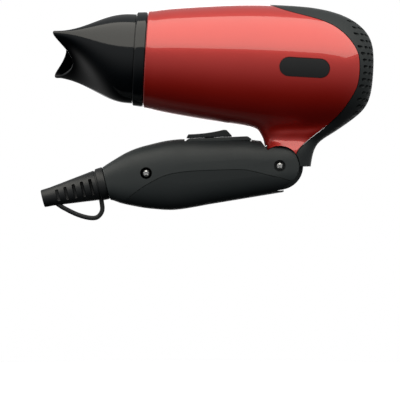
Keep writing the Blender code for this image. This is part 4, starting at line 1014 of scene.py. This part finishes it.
def new_group(name, inputs, outputs):
    """An empty shader node group with named sockets."""
    group = bpy.data.node_groups.new(name, "ShaderNodeTree")
    for label, kind, value in inputs:
        socket = group.interface.new_socket(name=label, in_out="INPUT", socket_type=kind)
        socket.default_value = value
    for label, kind in outputs:
        group.interface.new_socket(name=label, in_out="OUTPUT", socket_type=kind)
    return group, group.nodes.new("NodeGroupInput"), group.nodes.new("NodeGroupOutput")


def noise(tree, vector, scale, detail=2.0, roughness=0.5):
    node = tree.nodes.new("ShaderNodeTexNoise")
    node.inputs["Scale"].default_value = scale
    node.inputs["Detail"].default_value = detail
    node.inputs["Roughness"].default_value = roughness
    tree.links.new(vector, node.inputs["Vector"])
    return node


def math_node(tree, operation, a, b, clamp=False):
    node = tree.nodes.new("ShaderNodeMath")
    node.operation = operation
    node.use_clamp = clamp
    for socket, value in zip(node.inputs, (a, b)):
        if isinstance(value, (int, float)):
            socket.default_value = value
        else:
            tree.links.new(value, socket)
    return node.outputs[0]


def mix_colour(tree, factor, a, b):
    node = tree.nodes.new("ShaderNodeMix")
    node.data_type = "RGBA"
    for socket, value in ((node.inputs[0], factor), (node.inputs[6], a), (node.inputs[7], b)):
        if isinstance(value, (int, float, tuple)):
            socket.default_value = value
        else:
            tree.links.new(value, socket)
    return node.outputs[2]


def moulded_group():
    """Colour drift, patchy gloss and fine grain of an injection moulding."""
    group, given, out = new_group(
        "moulded_surface",
        [("Colour", "NodeSocketColor", (0.5, 0.5, 0.5, 1)), ("Deep Colour", "NodeSocketColor", (0.4, 0.4, 0.4, 1)),
         ("Gloss Low", "NodeSocketFloat", 0.1), ("Gloss High", "NodeSocketFloat", 0.2),
         ("Grain Scale", "NodeSocketFloat", 2000.0), ("Flow", "NodeSocketFloat", 0.2)],
        [("Colour", "NodeSocketColor"), ("Roughness", "NodeSocketFloat"), ("Height", "NodeSocketFloat")])
    place = group.nodes.new("ShaderNodeTexCoord").outputs["Object"]
    flow = noise(group, place, 28.0, 3.0).outputs[0]
    patches = noise(group, place, 90.0, 4.0, 0.6).outputs[0]
    grain = noise(group, place, 2000.0, 2.0, 0.6)
    group.links.new(given.outputs["Grain Scale"], grain.inputs["Scale"])
    drift = math_node(group, "MULTIPLY", flow, given.outputs["Flow"], clamp=True)
    colour = mix_colour(group, drift, given.outputs["Colour"], given.outputs["Deep Colour"])
    group.links.new(colour, out.inputs["Colour"])
    span = group.nodes.new("ShaderNodeMapRange")
    span.inputs["From Min"].default_value = 0.3
    span.inputs["From Max"].default_value = 0.7
    group.links.new(patches, span.inputs["Value"])
    group.links.new(given.outputs["Gloss Low"], span.inputs["To Min"])
    group.links.new(given.outputs["Gloss High"], span.inputs["To Max"])
    group.links.new(span.outputs[0], out.inputs["Roughness"])
    group.links.new(grain.outputs[0], out.inputs["Height"])
    return group


def worn_metal_group():
    """Fine turning marks and faint tarnish on a metal part."""
    group, given, out = new_group(
        "worn_metal",
        [("Colour", "NodeSocketColor", (0.7, 0.7, 0.7, 1)), ("Tarnish", "NodeSocketColor", (0.4, 0.38, 0.35, 1)),
         ("Amount", "NodeSocketFloat", 0.4)],
        [("Colour", "NodeSocketColor"), ("Roughness", "NodeSocketFloat"), ("Height", "NodeSocketFloat")])
    place = group.nodes.new("ShaderNodeTexCoord").outputs["Object"]
    stains = noise(group, place, 320.0, 4.0, 0.6).outputs[0]
    marks = noise(group, place, 2600.0, 1.0).outputs[0]
    tarnish = math_node(group, "MULTIPLY", stains, given.outputs["Amount"], clamp=True)
    colour = mix_colour(group, tarnish, given.outputs["Colour"], given.outputs["Tarnish"])
    group.links.new(colour, out.inputs["Colour"])
    rough = math_node(group, "MULTIPLY_ADD", stains, 0.3)
    rough.node.inputs[2].default_value = 0.14
    group.links.new(rough, out.inputs["Roughness"])
    group.links.new(marks, out.inputs["Height"])
    return group


MOULDED = moulded_group()
METAL = worn_metal_group()
print("effects:", MOULDED.name, METAL.name)

# %% [markdown]
# ## Finishes
# Each finish is one Principled shader with an effect in front of it. The coloured shell is lacquered with a
# metallic red, the grip is a satin plastic, and the cord sleeve a rubber. What differs is colour, gloss, and how
# deep the grain is.

# %% Building finishes


def finish_material(name, group, values, bump_strength, bump_distance, metallic=0.0, coat=0.0, specular=0.5):
    material = bpy.data.materials.new(name)
    material.use_nodes = True
    tree = material.node_tree
    shader = tree.nodes["Principled BSDF"]
    effect = tree.nodes.new("ShaderNodeGroup")
    effect.node_tree = group
    for key, value in values.items():
        effect.inputs[key].default_value = (*value, 1.0) if isinstance(value, tuple) else value
    tree.links.new(effect.outputs["Colour"], shader.inputs["Base Color"])
    tree.links.new(effect.outputs["Roughness"], shader.inputs["Roughness"])
    bump = tree.nodes.new("ShaderNodeBump")
    bump.inputs["Strength"].default_value = bump_strength
    bump.inputs["Distance"].default_value = bump_distance
    tree.links.new(effect.outputs["Height"], bump.inputs["Height"])
    tree.links.new(bump.outputs["Normal"], shader.inputs["Normal"])
    shader.inputs["Metallic"].default_value = metallic
    shader.inputs["Coat Weight"].default_value = coat
    shader.inputs["Coat Roughness"].default_value = 0.03
    shader.inputs["Coat IOR"].default_value = 1.63
    shader.inputs["Specular IOR Level"].default_value = specular
    return material


def moulded(name, colour, deep, low, high, grain=2200.0, bump=0.05, flow=0.5, metallic=0.0, coat=0.0, specular=0.5):
    values = {"Colour": colour, "Deep Colour": deep, "Gloss Low": low, "Gloss High": high, "Grain Scale": grain,
              "Flow": flow}
    return finish_material(name, MOULDED, values, bump, 0.00005, metallic, coat, specular)


def metal(name, colour, tarnish, amount, bump=0.15):
    return finish_material(name, METAL, {"Colour": colour, "Tarnish": tarnish, "Amount": amount}, bump, 0.00005, 1.0)


finishes = {
    "red_plastic": moulded("red metallic lacquer", (0.53, 0.018, 0.011), (0.45, 0.013, 0.008),
                            0.32, 0.38, 4000.0, 0.06, 0.8, 0.35, 1.0),
    "black_satin": moulded("black satin plastic", (0.017, 0.022, 0.024), (0.013, 0.016, 0.018),
                            0.55, 0.62, 2600.0, 0.25,
                            specular=0.32),
    "black_gloss": moulded("black gloss plastic", (0.004, 0.0055, 0.007), (0.003, 0.004, 0.005),
                            0.07, 0.12, 1500.0, 0.02,
                            specular=0.5),
    "grey_satin": moulded("dark grey satin plastic", (0.022, 0.028, 0.030), (0.017, 0.022, 0.024),
                            0.50, 0.58, 2600.0, 0.3),
    "switch_plastic": moulded("switch plastic", (0.014, 0.017, 0.019), (0.010, 0.012, 0.014),
                            0.22, 0.30, 2600.0, 0.2),
    "inlay": moulded("side plate plastic", (0.014, 0.015, 0.016), (0.010, 0.011, 0.012), 0.22, 0.22, 2600.0, 0.1),
    "black_rubber": moulded("black rubber", (0.012, 0.014, 0.016), (0.008, 0.010, 0.011), 0.38, 0.50, 3200.0, 0.5),
    "black_frame": moulded("black frame plastic", (0.018, 0.018, 0.019), (0.012, 0.012, 0.013),
                            0.38, 0.52, 2400.0, 0.3),
    "mica": moulded("mica board", (0.56, 0.47, 0.33), (0.40, 0.30, 0.17), 0.35, 0.6, 900.0, 0.4, 0.9),
    "board": moulded("circuit board", (0.06, 0.15, 0.05), (0.04, 0.10, 0.03), 0.3, 0.5, 1500.0, 0.3, 0.8),
    "brown_sleeve": moulded("brown wire sleeve", (0.11, 0.045, 0.02), (0.08, 0.03, 0.015), 0.35, 0.5, 2500.0, 0.2),
    "blue_sleeve": moulded("blue wire sleeve", (0.02, 0.07, 0.30), (0.015, 0.05, 0.22), 0.35, 0.5, 2500.0, 0.2),
    "steel": metal("bright steel", (0.72, 0.73, 0.74), (0.45, 0.44, 0.42), 0.3),
    "brass": metal("brass", (0.75, 0.52, 0.22), (0.42, 0.26, 0.10), 0.6),
    "heating_wire": metal("heating wire", (0.48, 0.44, 0.40), (0.20, 0.16, 0.15), 0.9, 0.3),
}
for piece, slot_name in finished:
    piece.data.materials.append(finishes[slot_name])
INNER = {
    "black_frame": ("fan_housing", "fan_impeller", "outlet_grille", "switch_body"),
    "mica": ("heater_board_flat", "heater_board_upright", "mica_sleeve"),
    "heating_wire": ("heater_coil",),
    "steel": ("motor", "motor_shaft", "thermal_fuse", "thermostat", "hinge_washer_left", "hinge_washer_right",
              "housing_screw_left", "housing_screw_right"),
    "brass": ("hinge_bush",),
    "board": ("motor_board",),
    "brown_sleeve": ("barrel_lead_live", "handle_lead_live"),
    "blue_sleeve": ("barrel_lead_neutral", "handle_lead_neutral"),
}
for slot_name, nodes in INNER.items():
    for node in nodes:
        inner = frame["nodes"][node]
        for material_slot in inner.material_slots:
            material_slot.material = finishes[slot_name]
print(len(finishes), "finishes")

# %% [markdown]
# ## Floor, light and surroundings
# A gloss surface shows what stands around it, so the studio matters as much as the finish. One large soft panel
# overhead, mostly in front, draws the pale band along the top of the barrel and grip. Polished surfaces mirror
# bright paper behind and to the sides, which lights their rims, and a dimmer glow that fades towards the ground.
# The floor lies low, so that the unfolded handle clears it, and the folded dryer hovers above it.

# %% Studio
FLOOR_LEVEL = -0.115
FLOOR_RADIUS = 0.5
bpy.ops.object.select_all(action="DESELECT")
bpy.ops.mesh.primitive_circle_add(vertices=96, radius=FLOOR_RADIUS, fill_type="NGON",
                                  location=(0, 0, FLOOR_LEVEL))
floor = bpy.context.object
floor.name = "floor"
paper = bpy.data.materials.new("white paper")
paper.use_nodes = True
paper_inputs = paper.node_tree.nodes["Principled BSDF"].inputs
paper_inputs["Base Color"].default_value = (0.93, 0.93, 0.93, 1)
paper_inputs["Roughness"].default_value = 0.9
paper_inputs["Emission Color"].default_value = (1, 1, 1, 1)
paper_inputs["Emission Strength"].default_value = 0.35
floor.data.materials.append(paper)
floor.visible_glossy = False
floor.visible_diffuse = False

PANEL_X, PANEL_FRONT, PANEL_BACK, PANEL_HEIGHT = 2.8, -1.15, 0.12, 0.68
PANEL_RADIANCE = 1.85
panel = bpy.data.lights.new("soft panel", "AREA")
panel.shape = "RECTANGLE"
panel.size = PANEL_X
panel.size_y = PANEL_BACK - PANEL_FRONT
panel.color = (1.0, 0.96, 0.86)
panel.energy = PANEL_RADIANCE * math.pi * panel.size * panel.size_y
panel_object = bpy.data.objects.new("soft panel", panel)
panel_object.location = (0.0, (PANEL_FRONT + PANEL_BACK) / 2, PANEL_HEIGHT)
bpy.context.scene.collection.objects.link(panel_object)

world = bpy.data.worlds.new("studio room")
bpy.context.scene.world = world
world.use_nodes = True
tree = world.node_tree
tree.nodes.clear()
background = tree.nodes.new("ShaderNodeBackground")
output = tree.nodes.new("ShaderNodeOutputWorld")
tree.links.new(background.outputs[0], output.inputs[0])
path = tree.nodes.new("ShaderNodeLightPath")
way = tree.nodes.new("ShaderNodeSeparateXYZ")
tree.links.new(tree.nodes.new("ShaderNodeTexCoord").outputs["Generated"], way.inputs[0])
sideways = math_node(tree, "ABSOLUTE", way.outputs["X"], 0.0)
around = math_node(tree, "MAXIMUM", way.outputs["Y"], math_node(tree, "MULTIPLY", sideways, 0.9))


def eased_range(value, low, high, to_high):
    """A soft step from 0 to to_high."""
    node = tree.nodes.new("ShaderNodeMapRange")
    node.interpolation_type = "SMOOTHSTEP"
    for label, number in (("From Min", low), ("From Max", high), ("To Min", 0.0), ("To Max", to_high)):
        node.inputs[label].default_value = number
    tree.links.new(value, node.inputs["Value"])
    return node.outputs[0]


paper_glow = eased_range(around, 0.86, 0.96, 2.2)
front_fill = eased_range(way.outputs["Z"], -0.9, 0.3, 0.32)
diffuse_fill = eased_range(way.outputs["Z"], -0.8, 0.6, 0.62)
mirrored = math_node(tree, "MAXIMUM", paper_glow, front_fill)
room = mix_colour(tree, path.outputs["Is Glossy Ray"], diffuse_fill, mirrored)
seen = mix_colour(tree, path.outputs["Is Camera Ray"], room, (1.0, 1.0, 1.0, 1.0))
tree.links.new(seen, background.inputs["Color"])
bpy.context.scene.view_settings.view_transform = "Standard"
print("panel gives", round(panel.energy), "watts")
